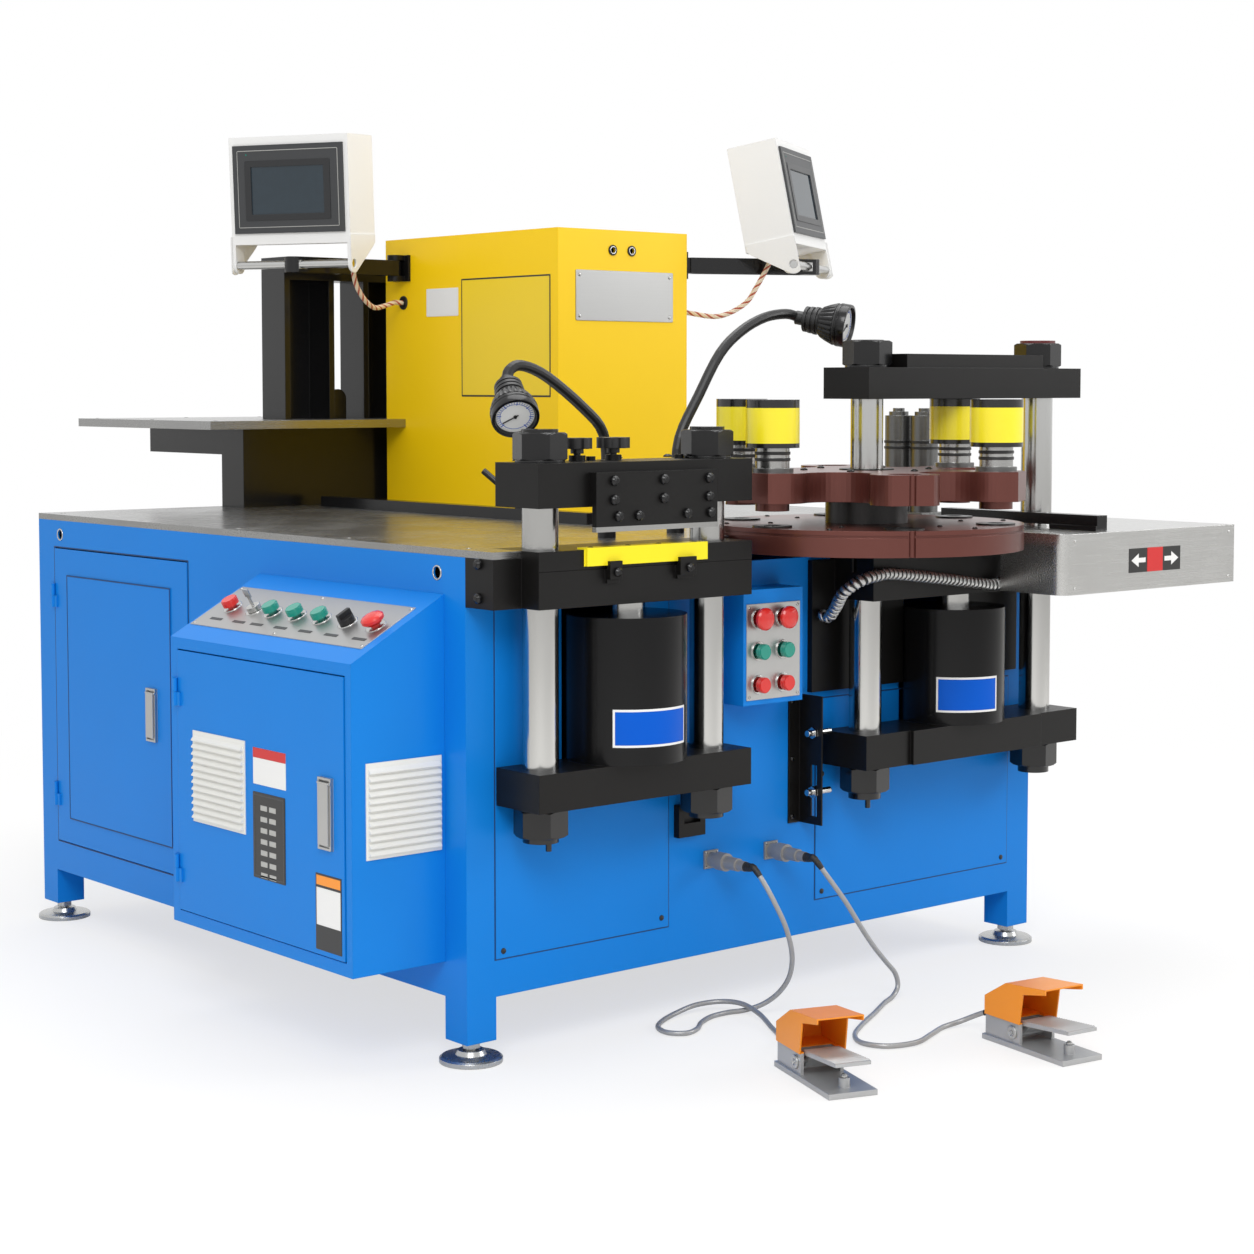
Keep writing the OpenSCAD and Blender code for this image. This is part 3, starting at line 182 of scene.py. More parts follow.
@dataclass(frozen=True)
class Finish:
    """One surface finish.

    Colour is linear. `grain` is the bump pattern's frequency along X, Y and Z per metre,
    `relief` the bump's height in metres, `mottle` how far the colour wanders, `streak`
    how far the roughness does, and `gloss` the specular level.
    """

    name: str
    colour: Point
    rough: float = 0.4
    metal: float = 0.0
    grain: Point = (700.0, 700.0, 700.0)
    relief: float = 0.00008
    mottle: float = 0.05
    streak: float = 0.06
    coat: float = 0.0
    gloss: float = 0.5


class Look(Enum):
    """The finishes found on the machine."""

    BLUE = Finish("powder blue", (0.005, 0.202, 0.66), 0.34, relief=0.00003,
                  gloss=0.14)
    YELLOW = Finish("powder yellow", (0.98, 0.625, 0.004), 0.34, relief=0.00003,
                    gloss=0.25)
    BRIGHT_YELLOW = Finish("enamel yellow", (0.90, 0.76, 0.02), 0.3, relief=0.00002, coat=0.3)
    BLACK_STEEL = Finish("browned black plate", (0.0060, 0.0056, 0.0054), 0.36, 0.05,
                         (260.0, 260.0, 260.0), 0.00004, 0.35, 0.16, gloss=0.22)
    BLACK_GLOSS = Finish("black enamel", (0.005, 0.005, 0.0055), 0.2, relief=0.00002,
                         gloss=0.42)
    BLACK_PLASTIC = Finish("black plastic", (0.008, 0.008, 0.0085), 0.4, relief=0.00005)
    RUBBER = Finish("black rubber", (0.010, 0.010, 0.0105), 0.5, relief=0.00005)
    CORD_GREY = Finish("grey cord jacket", (0.36, 0.36, 0.36), 0.3, 0.3, relief=0.00003)
    WORKTOP = Finish("ground worktop", (0.33, 0.33, 0.325), 0.26, 0.95,
                     (14.0, 420.0, 420.0), 0.00003, 0.16, 0.16)
    STAINLESS = Finish("brushed stainless", (0.54, 0.54, 0.53), 0.27, 0.97,
                       (9.0, 380.0, 620.0), 0.00001, 0.10, 0.12)
    SATIN = Finish("satin steel", (0.46, 0.46, 0.455), 0.34, 0.95,
                   (45.0, 45.0, 45.0), 0.000004, 0.06, 0.04)
    CHROME = Finish("hard chrome", (0.52, 0.52, 0.51), 0.16, 1.0,
                    (300.0, 300.0, 12.0), 0.00001, 0.04, 0.05)
    STEEL = Finish("turned steel", (0.40, 0.40, 0.39), 0.24, 0.97,
                   (60.0, 60.0, 900.0), 0.00003, 0.12, 0.1)
    DARK_STEEL = Finish("dark steel", (0.15, 0.15, 0.148), 0.32, 0.85,
                        (60.0, 60.0, 700.0), 0.00003, 0.2, 0.1)
    BROWNED = Finish("browned disc", (0.135, 0.042, 0.033), 0.3, 0.6,
                     (60.0, 60.0, 60.0), 0.000003, 0.06, 0.04, 0.1)
    DARK_RED = Finish("dark red cap", (0.12, 0.012, 0.012), 0.4)
    WHITE = Finish("white powder coat", (0.80, 0.80, 0.79), 0.38, relief=0.00004)
    LOUVRE = Finish("white louvre", (0.76, 0.76, 0.73), 0.42, relief=0.00003)
    BEZEL_GREY = Finish("bezel grey", (0.035, 0.037, 0.040), 0.4, relief=0.00006)
    BEZEL_DARK = Finish("bezel dark", (0.014, 0.015, 0.017), 0.34, relief=0.00003)
    GLASS = Finish("display glass", (0.016, 0.030, 0.042), 0.08, relief=0.0, mottle=0.3,
                   grain=(60.0, 60.0, 60.0), coat=0.6)
    ALLOY = Finish("cast alloy", (0.44, 0.445, 0.45), 0.4, 0.6,
                   (300.0, 300.0, 300.0), 0.00003, 0.05, 0.05)
    CONNECTOR = Finish("connector metal", (0.27, 0.265, 0.26), 0.52, 0.3,
                       (200.0, 200.0, 200.0), 0.00003, 0.14, 0.1)
    # Painted shade: the cabinet blue darkened, for the dark line of shade in the gaps round the
    # panels.
    SEAM = Finish("painted seam shade", (0.002, 0.045, 0.16), 0.6, relief=0.00001)
    GALVANISED = Finish("zinc plated", (0.46, 0.465, 0.46), 0.27, 0.92,
                        (120.0, 120.0, 120.0), 0.000008, 0.06, 0.05)
    ORANGE = Finish("orange enamel", (0.90, 0.29, 0.010), 0.33, relief=0.00003)
    RED = Finish("red plastic", (0.66, 0.018, 0.014), 0.24, relief=0.00001, coat=0.3)
    GREEN = Finish("green plastic", (0.003, 0.27, 0.20), 0.24, relief=0.00001, coat=0.3)
    SIGN_BLUE = Finish("sign blue", (0.0, 0.095, 0.56), 0.34, relief=0.00001, gloss=0.12)
    SIGN_WHITE = Finish("sign white", (0.80, 0.80, 0.79), 0.35, relief=0.00001)
    SIGN_RED = Finish("sign red", (0.58, 0.012, 0.012), 0.35, relief=0.00001)
    SIGN_BLACK = Finish("sign black", (0.012, 0.012, 0.012), 0.35, relief=0.00001)
    SIGN_YELLOW = Finish("placard yellow", (0.88, 0.62, 0.01), 0.38, relief=0.00001)
    NAME_PLATE = Finish("name plate", (0.36, 0.36, 0.355), 0.36, 0.8,
                        (10.0, 500.0, 500.0), 0.00002, 0.08, 0.1)
    DIAL = Finish("dial face", (0.80, 0.81, 0.80), 0.4, relief=0.0, mottle=0.02)
    RELAY = Finish("relay grey", (0.42, 0.42, 0.40), 0.5)
    TANK = Finish("tank grey", (0.16, 0.18, 0.20), 0.4)
    SLEEVE = Finish("pale sleeve", (0.78, 0.66, 0.50), 0.55, relief=0.0001)
    BRAID = Finish("red strand", (0.42, 0.075, 0.035), 0.5, relief=0.0001)


@dataclass(frozen=True)
class Zone:
    """A box on a solid that carries its own finish, in millimetres of a local frame."""

    low: Point
    high: Point
    look: Look
    frame: LocalFrame = CORNER


ANY = 9999.0


def band(look: Look, z0: float, z1: float) -> Zone:
    """Returns a level zone between two heights."""
    return Zone((-ANY, -ANY, z0), (ANY, ANY, z1), look)


# ------------------------------------------------------------------ node helpers


def feed(tree: Tree, socket: bpy.types.NodeSocket, value: Value) -> None:
    """Links an output to an input, or writes a plain value or colour to it."""
    if isinstance(value, bpy.types.NodeSocket):
        tree.links.new(value, socket)
    elif socket.type == "RGBA":
        socket.default_value = (*value, 1.0)
    else:
        socket.default_value = value


def add_node(tree: Tree, kind: str, feeds: dict | None = None, **settings) -> bpy.types.Node:
    """Adds a node to a tree.

    Args:
        tree: Tree that takes the node.
        kind: Blender's name of the node type.
        feeds: Output or plain value for each input, by its name or number.
        **settings: Properties of the node, such as its operation.

    Returns:
        The node.
    """
    node = tree.nodes.new(kind)
    for name, value in settings.items():
        setattr(node, name, value)
    for key, value in (feeds or {}).items():
        feed(tree, node.inputs[key], value)
    return node


def calc(tree: Tree, operation: str, *values: Value) -> bpy.types.NodeSocket:
    """Adds a Math node, fed by outputs or numbers, and returns its result."""
    return add_node(tree, "ShaderNodeMath", dict(enumerate(values)),
                    operation=operation).outputs[0]


class Paint:
    """Builds and keeps the materials, one for each finish or set of zones."""

    drift_scale = 7.0
    edge_radius = 0.0016
    bump_strength = 0.6
    coat_rough = 0.15

    def __init__(self) -> None:
        """Starts with no materials."""
        self._made: dict[str, bpy.types.Material] = {}

    def of(self, look: Look) -> bpy.types.Material:
        """Returns the material of a plain finish."""
        return self.zoned(look.value.name, look, ())

    def zoned(self, name: str, base: Look, zones: Sequence[Zone]) -> bpy.types.Material:
        """Builds a material whose finish changes from zone to zone.

        Args:
            name: Name of the material.
            base: Finish outside every zone.
            zones: Boxes with their own finish; later ones lie over earlier ones.

        Returns:
            The material, made once for each name.
        """
        if name in self._made:
            return self._made[name]
        mat = bpy.data.materials.new(name)
        mat.use_nodes = True
        tree = mat.node_tree
        tree.nodes.clear()
        coords = add_node(tree, "ShaderNodeTexCoord").outputs["Object"]
        layers = self._surface(tree, base.value, coords)
        for zone in zones:
            inside = self._inside(tree, coords, zone)
            over = self._surface(tree, zone.look.value, coords)
            layers = [self._mix(tree, "FLOAT" if i else "RGBA", inside, below, above)
                      for i, (below, above) in enumerate(zip(layers, over))]
        colour, rough, metal, height = layers
        edge = add_node(tree, "ShaderNodeBevel", {"Radius": self.edge_radius}, samples=4)
        bump = add_node(tree, "ShaderNodeBump", {
            "Distance": 1.0, "Strength": self.bump_strength, "Height": height,
            "Normal": edge.outputs[0]})
        shader = add_node(tree, "ShaderNodeBsdfPrincipled", {
            "Base Color": colour, "Roughness": rough, "Metallic": metal,
            "Coat Weight": base.value.coat, "Coat Roughness": self.coat_rough,
            "Specular IOR Level": base.value.gloss, "Normal": bump.outputs[0]})
        add_node(tree, "ShaderNodeOutputMaterial", {0: shader.outputs[0]})
        self._made[name] = mat
        return mat

    def _mix(self, tree: Tree, kind: str, *values: Value) -> bpy.types.NodeSocket:
        """Mixes two values or colours by a factor and returns the result."""
        node = add_node(tree, "ShaderNodeMix", data_type=kind)
        for socket, value in zip([s for s in node.inputs if s.enabled], values):
            feed(tree, socket, value)
        return next(s for s in node.outputs if s.enabled)

    def _surface(self, tree: Tree, finish: Finish, coords: bpy.types.NodeSocket) -> tuple:
        """Builds one finish's colour, roughness, metal and height."""
        drift = add_node(tree, "ShaderNodeTexNoise", {
            "Vector": coords, "Scale": self.drift_scale, "Detail": 6.0}).outputs["Fac"]
        stretch = add_node(tree, "ShaderNodeMapping", {"Vector": coords, "Scale": finish.grain})
        grain = add_node(tree, "ShaderNodeTexNoise", {
            "Vector": stretch.outputs[0], "Scale": 1.0, "Detail": 3.0}).outputs["Fac"]
        both = calc(tree, "MULTIPLY_ADD", grain, 0.5, calc(tree, "MULTIPLY", drift, 0.5))
        dark = tuple(c * (1.0 - finish.mottle) for c in finish.colour)
        light = tuple(min(1.0, c * (1.0 + finish.mottle)) for c in finish.colour)
        colour = self._mix(tree, "RGBA", both, dark, light)
        rough = calc(tree, "MULTIPLY_ADD", both, 2.0 * finish.streak,
                     finish.rough - finish.streak)
        return colour, rough, finish.metal, calc(tree, "MULTIPLY", grain, finish.relief)

    def _inside(self, tree: Tree, coords: bpy.types.NodeSocket, zone: Zone) -> Value:
        """Builds a mask that is 1 inside a zone's box and 0 outside."""
        local = add_node(tree, "ShaderNodeMapping", {
            "Vector": coords, "Location": LAYOUT.place(*zone.frame.origin),
            "Rotation": [math.radians(a) for a in zone.frame.turn]}, vector_type="TEXTURE")
        parts = add_node(tree, "ShaderNodeSeparateXYZ", {0: local.outputs[0]}).outputs
        mask = None
        for axis, edges in enumerate(zip(zone.low, zone.high)):
            for edge, test in zip(edges, ("GREATER_THAN", "LESS_THAN")):
                if abs(edge) < ANY:
                    hit = calc(tree, test, parts[axis], edge * MM)
                    mask = hit if mask is None else calc(tree, "MULTIPLY", mask, hit)
        return 1.0 if mask is None else mask


PAINT = Paint()


# ------------------------------------------------------------------ mesh helpers


def new_mesh(name: str, fill: Fill, place: Matrix | None = None) -> bpy.types.Mesh:
    """Builds a mesh with a function that fills a bmesh.

    Args:
        name: Name of the mesh.
        fill: Function that adds the geometry, in metres.
        place: Matrix from the function's frame to the part's frame.

    Returns:
        The mesh.
    """
    bm = bmesh.new()
    fill(bm)
    bmesh.ops.recalc_face_normals(bm, faces=bm.faces)
    if place is not None:
        bm.transform(place)
    mesh = bpy.data.meshes.new(name)
    bm.to_mesh(mesh)
    bm.free()
    return mesh


def new_object(name: str, mesh: bpy.types.Mesh, look: Look) -> bpy.types.Object:
    """Puts a mesh into the scene as an object with one finish."""
    obj = bpy.data.objects.new(name, mesh)
    bpy.context.scene.collection.objects.link(obj)
    mesh.materials.clear()
    mesh.materials.append(PAINT.of(look))
    return obj


def shade_soft(obj: bpy.types.Object, angle: float = 35.0) -> None:
    """Shades faces smooth and keeps edges sharper than an angle."""
    bm = bmesh.new()
    bm.from_mesh(obj.data)
    limit = math.radians(angle)
    for edge in bm.edges:
        edge.smooth = len(edge.link_faces) == 2 and edge.calc_face_angle(0.0) < limit
    for face in bm.faces:
        face.smooth = True
    bm.to_mesh(obj.data)
    bm.free()


def keep_piece(name: str, mesh: bpy.types.Mesh, look: Look, body: str,
               smooth: bool = True) -> bpy.types.Object:
    """Keeps a mesh as one finished piece.

    Args:
        name: Name of the piece.
        mesh: Its mesh, already in the part's frame.
        look: Its finish.
        body: CAD body that it rides on.
        smooth: Whether its faces are shaded smooth.

    Returns:
        The new object.
    """
    obj = new_object(name, mesh, look)
    if smooth:
        shade_soft(obj)
    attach(obj, body)
    LOG.info("%s on %s: %d faces", name, body, len(mesh.polygons))
    return obj


def build_piece(name: str, fill: Fill, look: Look, body: str = "base",
                place: Matrix | None = None, smooth: bool = True) -> bpy.types.Object:
    """Builds a mesh with a function and keeps it as one finished piece."""
    return keep_piece(name, new_mesh(name, fill, place), look, body, smooth)


def add_placed(bm: BMesh, fill: Fill, place: Matrix) -> None:
    """Adds a form that is built in its own frame and then moved to its place."""
    part = bmesh.new()
    fill(part)
    part.transform(place)
    held = bpy.data.meshes.new("part")
    part.to_mesh(held)
    part.free()
    bm.from_mesh(held)
    bpy.data.meshes.remove(held)


def bridge(bm: BMesh, rings: Sequence[Ring], caps: bool = True) -> None:
    """Joins neighbouring rings of vertices with faces.

    Args:
        bm: Mesh that holds the rings.
        rings: Rings of equally many vertices; a point stands for a ring of one vertex.
        caps: Whether the first and last ring are closed with a face.
    """
    for near, far in zip(rings, rings[1:]):
        for k in range(len(near)):
            n = (k + 1) % len(near)
            corners = list(dict.fromkeys((near[k], near[n], far[n], far[k])))
            if len(corners) > 2:
                bm.faces.new(corners)
    if caps:
        bm.faces.new(rings[0])
        bm.faces.new(rings[-1])


def add_box(bm: BMesh, low: Point, high: Point) -> Ring:
    """Adds a box between two corners and returns its vertices."""
    verts = bmesh.ops.create_cube(bm, size=1.0)["verts"]
    bmesh.ops.scale(bm, vec=[(h - l) * MM for l, h in zip(low, high)], verts=verts)
    bmesh.ops.translate(bm, vec=[(h + l) * MM / 2.0 for l, h in zip(low, high)], verts=verts)
    return verts


def add_ring(bm: BMesh, radius: Callable[[float], float], z: float, steps: int) -> Ring:
    """Adds one ring of vertices round +Z, with its radius given for each angle."""
    angles = [FULL_TURN * k / steps for k in range(steps)]
    return [bm.verts.new((radius(a) * MM * math.cos(a), radius(a) * MM * math.sin(a), z * MM))
            for a in angles]


def add_turned(bm: BMesh, sections: Sequence[tuple[Callable[[float], float], float]],
               steps: int, closed: bool = False) -> None:
    """Adds a form whose radius changes with the angle, section by section.

    Args:
        bm: Mesh that takes the form.
        sections: Radius for an angle, and height, of each section.
        steps: Points round one section.
        closed: Whether the last section joins the first, instead of end caps.
    """
    rings = [add_ring(bm, radius, z, steps) for radius, z in sections]
    bridge(bm, rings + rings[:1] if closed else rings, caps=not closed)


def add_lathe(bm: BMesh, outline: Sequence[Spot], steps: int = 48) -> None:
    """Turns an outline of (radius, height) round +Z."""
    rings = []
    for radius, z in outline:
        if radius > 0.0:
            rings.append(add_ring(bm, lambda a: radius, z, steps))
        else:
            rings.append([bm.verts.new((0.0, 0.0, z * MM))] * steps)
    bridge(bm, rings, caps=False)


def facing(origin: Vector, direction: Sequence[float], up: Sequence[float] = UP) -> Matrix:
    """Returns a frame at a point whose +Z looks along a direction and +Y leans to up."""
    z = Vector(direction).normalized()
    x = Vector(up).cross(z)
    if x.length < 1e-6:
        x = Vector((1, 0, 0)).cross(z)
    x.normalize()
    return Matrix.Translation(origin) @ Matrix((x, z.cross(x), z)).transposed().to_4x4()


def smooth_path(points: Sequence[Vector], steps: int) -> list[Vector]:
    """Runs a smooth curve through points, with a number of steps between neighbours."""
    last = len(points) - 1
    out: list[Vector] = []
    for i in range(last):
        a, b, c, d = (points[max(i - 1, 0)], points[i], points[i + 1], points[min(i + 2, last)])
        for k in range(steps):
            t = k / steps
            out.append(0.5 * ((2 * b) + (c - a) * t + (2 * a - 5 * b + 4 * c - d) * t * t
                              + (3 * b - a - 3 * c + d) * t ** 3))
    out.append(points[last])
    return out


def carried_sides(path: Sequence[Vector]) -> list[tuple[Vector, Vector]]:
    """Finds two sideways directions at each point of a path, without twist."""
    side = Vector((0.31, 0.22, 0.93))
    out = []
    for i in range(len(path)):
        ahead = (path[min(i + 1, len(path) - 1)] - path[max(i - 1, 0)]).normalized()
        side = (side - side.dot(ahead) * ahead).normalized()
        out.append((side.copy(), ahead.cross(side)))
    return out


def add_tube(bm: BMesh, path: Sequence[Vector], radius: Callable[[float], float],
             sides: int = 16) -> None:
    """Sweeps a round section along a path and closes both ends.

    Args:
        bm: Mesh that takes the tube.
        path: Points of its middle line, in metres.
        radius: Radius for a share of the path's length between 0 and 1.
        sides: Number of sides.
    """
    angles = [FULL_TURN * k / sides for k in range(sides)]
    rings = []
    for i, (centre, (u, v)) in enumerate(zip(path, carried_sides(path))):
        r = radius(i / (len(path) - 1)) * MM
        rings.append([bm.verts.new(centre + r * (math.cos(a) * u + math.sin(a) * v))
                      for a in angles])
    bridge(bm, rings)


# ------------------------------------------------------------------ repeated pieces


@dataclass(frozen=True)
class Frustum:
    """A step of a turned part: its radii and heights are shares of the part's own."""

    low: float
    high: float
    tall: float
    foot: float
    sides: int


class Form(Enum):
    """Small parts that are repeated: a socket screw, a domed rivet and a hose turn."""

    SCREW = (Frustum(1.0, 0.94, 0.5, 0.0, 24), Frustum(0.94, 0.62, 0.35, 0.5, 24),
             Frustum(0.62, 0.5, 0.15, 0.85, 6))
    RIVET = (Frustum(1.0, 0.8, 0.5, 0.0, 20), Frustum(0.8, 0.3, 0.5, 0.5, 20))
    BAND = (Frustum(0.9, 1.0, 0.22, 0.0, 28), Frustum(1.0, 1.0, 0.56, 0.22, 28),
            Frustum(1.0, 0.9, 0.22, 0.78, 28))


class Scatter:
    """Geometry Nodes tree that sets one turned part on every point of a mesh."""

    def __init__(self, name: str, form: Form) -> None:
        """Builds the tree.

        Args:
            name: Name of the tree.
            form: Part that is repeated.
        """
        self.tree = tree = bpy.data.node_groups.new(name, "GeometryNodeTree")
        self.inputs = {label: tree.interface.new_socket(
            label, in_out="INPUT", socket_type=f"NodeSocket{kind}").identifier
            for label, kind in (("Geometry", "Geometry"), ("Radius", "Float"),
                                ("Height", "Float"), ("Finish", "Material"))}
        tree.interface.new_socket("Geometry", in_out="OUTPUT",
                                  socket_type="NodeSocketGeometry")
        start = add_node(tree, "NodeGroupInput").outputs
        joined = add_node(tree, "GeometryNodeJoinGeometry")
        for step in form.value:
            tree.links.new(self._cone(start, step), joined.inputs[0])
        outward = add_node(tree, "GeometryNodeInputNamedAttribute", {"Name": "outward"},
                           data_type="FLOAT_VECTOR")
        turn = add_node(tree, "FunctionNodeAlignEulerToVector",
                        {"Vector": outward.outputs["Attribute"]}, axis="Z")
        spread = add_node(tree, "GeometryNodeInstanceOnPoints", {
            "Points": start["Geometry"], "Instance": joined.outputs[0],
            "Rotation": turn.outputs[0]})
        real = add_node(tree, "GeometryNodeRealizeInstances", {0: spread.outputs[0]})
        painted = add_node(tree, "GeometryNodeSetMaterial", {
            "Geometry": real.outputs[0], "Material": start["Finish"]})
        add_node(tree, "NodeGroupOutput", {0: painted.outputs[0]})

    def _cone(self, start: bpy.types.NodeOutputs, step: Frustum) -> bpy.types.NodeSocket:
        """Adds one step of the part, scaled by the tree's radius and height."""
        def share(label: str, factor: float) -> bpy.types.NodeSocket:
            return calc(self.tree, "MULTIPLY", start[label], factor)

        cone = add_node(self.tree, "GeometryNodeMeshCone", {
            "Vertices": step.sides, "Radius Bottom": share("Radius", step.low),
            "Radius Top": share("Radius", step.high), "Depth": share("Height", step.tall)})
        lift = add_node(self.tree, "ShaderNodeCombineXYZ", {"Z": share("Height", step.foot)})
        return add_node(self.tree, "GeometryNodeTransform", {
            "Geometry": cone.outputs["Mesh"], "Translation": lift.outputs[0]}).outputs[0]

    def spread(self, name: str, points: Sequence[Vector], outward: Sequence[Vector],
               radius: float, height: float, look: Look, body: str, slot: str) -> None:
        """Sets the part on points and keeps the result as one plain mesh.

        Args:
            name: Name of the piece.
            points: Feet of the parts, in the part's frame.
            outward: Direction that each part looks to.
            radius: Radius in millimetres.
            height: Height in millimetres.
            look: Finish.
            body: CAD body that carries them.
            slot: Not used.
        """
        seed = bpy.data.meshes.new(name + "_points")
        seed.from_pydata([tuple(p) for p in points], [], [])
        layer = seed.attributes.new("outward", "FLOAT_VECTOR", "POINT")
        for item, direction in zip(layer.data, outward):
            item.vector = direction
        holder = bpy.data.objects.new(name + "_points", seed)
        bpy.context.scene.collection.objects.link(holder)
        live = holder.modifiers.new("parts", "NODES")
        live.node_group = self.tree
        live[self.inputs["Radius"]] = radius * MM
        live[self.inputs["Height"]] = height * MM
        live[self.inputs["Finish"]] = PAINT.of(look)
        graph = bpy.context.evaluated_depsgraph_get()
        mesh = bpy.data.meshes.new_from_object(holder.evaluated_get(graph))
        holder.modifiers.remove(live)
        bpy.data.objects.remove(holder)
        mesh.name = name
        keep_piece(name, mesh, look, body)


# ------------------------------------------------------------------ studio


@dataclass(frozen=True)
class Viewpoint:
    """Where the machine is seen from: metres, degrees and millimetres of lens."""

    location: Point = (-2.3382, -3.1448, 1.1158)
    down: float = 3.689
    bearing: float = -40.407
    lens: float = 68.93
    sensor: float = 36.0
    shift_up: float = -0.0694
    far_clip: float = 200.0

    def set_up(self) -> None:
        """Makes the camera and puts it to use."""
        data = bpy.data.cameras.new("viewpoint")
        data.lens = self.lens
        data.sensor_width = self.sensor
        data.shift_y = self.shift_up
        data.clip_end = self.far_clip
        rig = bpy.data.objects.new("viewpoint", data)
        rig.location = self.location
        rig.rotation_euler = (math.radians(90.0 - self.down), 0.0, math.radians(self.bearing))
        bpy.context.scene.collection.objects.link(rig)
        bpy.context.scene.camera = rig
        LOG.info("viewpoint set")


@dataclass(frozen=True)
class Lamp:
    """One soft square lamp that looks at the middle of the machine, in metres and watts."""

    name: str
    place: Point
    side: float
    watts: float


@dataclass(frozen=True)
class Studio:
    """Pale floor, white surround and soft lamps."""

    surround: float = 0.66
    floor_tone: Point = (0.945, 0.93, 0.905)
    floor_rough: float = 0.6
    floor_gloss: float = 0.2
    floor_half: float = 30.0
    floor_drop: float = 0.0006
    floor_lift: float = 0.66
    fade_middle: Point = (0.6, 0.4, 0.0)
    fade: Spot = (1.7, 3.6)
    aim: Point = (0.55, 0.4, 0.7)
    lamps: tuple[Lamp, ...] = (Lamp("key_lamp", (-2.9, -3.4, 4.4), 2.6, 165.0),
                               Lamp("top_lamp", (1.2, 0.8, 5.2), 3.6, 130.0),
                               Lamp("right_lamp", (4.8, -2.8, 2.6), 1.8, 60.0))

    def set_up(self) -> None:
        """Builds the world, the floor and the lamps."""
        bpy.context.scene.view_settings.view_transform = "Standard"
        self._world()
        self._floor()
        for lamp in self.lamps:
            self._lamp(lamp)

    def _world(self) -> None:
        """White to camera, glossy and transmission rays, softer as a light."""
        world = bpy.data.worlds.new("surround")
        world.use_nodes = True
        tree = world.node_tree
        rays = add_node(tree, "ShaderNodeLightPath").outputs
        mirrored = calc(tree, "MAXIMUM", rays["Is Glossy Ray"], rays["Is Transmission Ray"])
        seen = calc(tree, "MAXIMUM", rays["Is Camera Ray"], mirrored)
        strength = add_node(tree, "ShaderNodeMapRange", {"Value": seen, "To Min": self.surround})
        back = tree.nodes["Background"]
        feed(tree, back.inputs["Color"], (1.0, 1.0, 1.0))
        feed(tree, back.inputs["Strength"], strength.outputs[0])
        bpy.context.scene.world = world

    def _floor(self) -> None:
        """A wide pale floor that keeps the machine's shadow and runs out into white."""
        mat = bpy.data.materials.new("floor")
        mat.use_nodes = True
        tree = mat.node_tree
        shader = tree.nodes["Principled BSDF"]
        feed(tree, shader.inputs["Base Color"], self.floor_tone)
        feed(tree, shader.inputs["Roughness"], self.floor_rough)
        feed(tree, shader.inputs["Specular IOR Level"], self.floor_gloss)
        spot = add_node(tree, "ShaderNodeTexCoord").outputs["Object"]
        away = add_node(tree, "ShaderNodeVectorMath", {0: spot, 1: self.fade_middle},
                        operation="DISTANCE")
        ramp = add_node(tree, "ShaderNodeMapRange", {
            "Value": away.outputs["Value"], "From Min": self.fade[0], "From Max": self.fade[1],
            "To Min": self.floor_lift}, interpolation_type="SMOOTHSTEP")
        rays = add_node(tree, "ShaderNodeLightPath").outputs
        seen = calc(tree, "MULTIPLY", ramp.outputs[0], rays["Is Camera Ray"])
        white = add_node(tree, "ShaderNodeEmission")
        mixed = add_node(tree, "ShaderNodeMixShader", {
            0: seen, 1: shader.outputs[0], 2: white.outputs[0]})
        tree.links.new(mixed.outputs[0], tree.nodes["Material Output"].inputs[0])
        mesh = new_mesh("floor", lambda bm: bmesh.ops.create_grid(bm, size=self.floor_half))
        mesh.materials.append(mat)
        floor = bpy.data.objects.new("floor", mesh)
        floor.location = (0.0, 0.0, -self.floor_drop)
        bpy.context.scene.collection.objects.link(floor)

    def _lamp(self, lamp: Lamp) -> None:
        """Adds one lamp, turned to the machine."""
        data = bpy.data.lights.new(lamp.name, "AREA")
        data.size = lamp.side
        data.energy = lamp.watts
        obj = bpy.data.objects.new(lamp.name, data)
        obj.location = lamp.place
        look = Vector(self.aim) - Vector(lamp.place)
        obj.rotation_euler = look.to_track_quat("-Z", "Y").to_euler()
        bpy.context.scene.collection.objects.link(obj)
        LOG.info("%s placed", lamp.name)


# ------------------------------------------------------------------ cords and hoses


@dataclass(frozen=True)
class PedalStand:
    """Where a pedal stands: middle on the floor and turn in degrees."""

    x: float
    y: float
    turn: float
    gland: Point = (0.0, 106.0, 28.0)

    def frame(self) -> LocalFrame:
        """Returns the pedal's own frame."""
        return LocalFrame((self.x, self.y, 0.0), (0.0, 0.0, self.turn))

    def point(self, x: float, y: float, z: float) -> Point:
        """Returns the machine's point for a point of the pedal."""
        a = math.radians(self.turn)
        return (self.x + x * math.cos(a) - y * math.sin(a),
                self.y + x * math.sin(a) + y * math.cos(a), z)

    def into_gland(self) -> list[Point]:
        """Returns the last points of a cord, straight into the gland."""
        gx, gy, gz = self.gland
        return [self.point(gx, gy + away, gz) for away in (42.0, 20.0, 0.0)]


LEFT_PEDAL = PedalStand(397.0, -428.0, -19.3)
RIGHT_PEDAL = PedalStand(805.0, -534.0, -9.0)
PEDALS = (("left", LEFT_PEDAL), ("right", RIGHT_PEDAL))


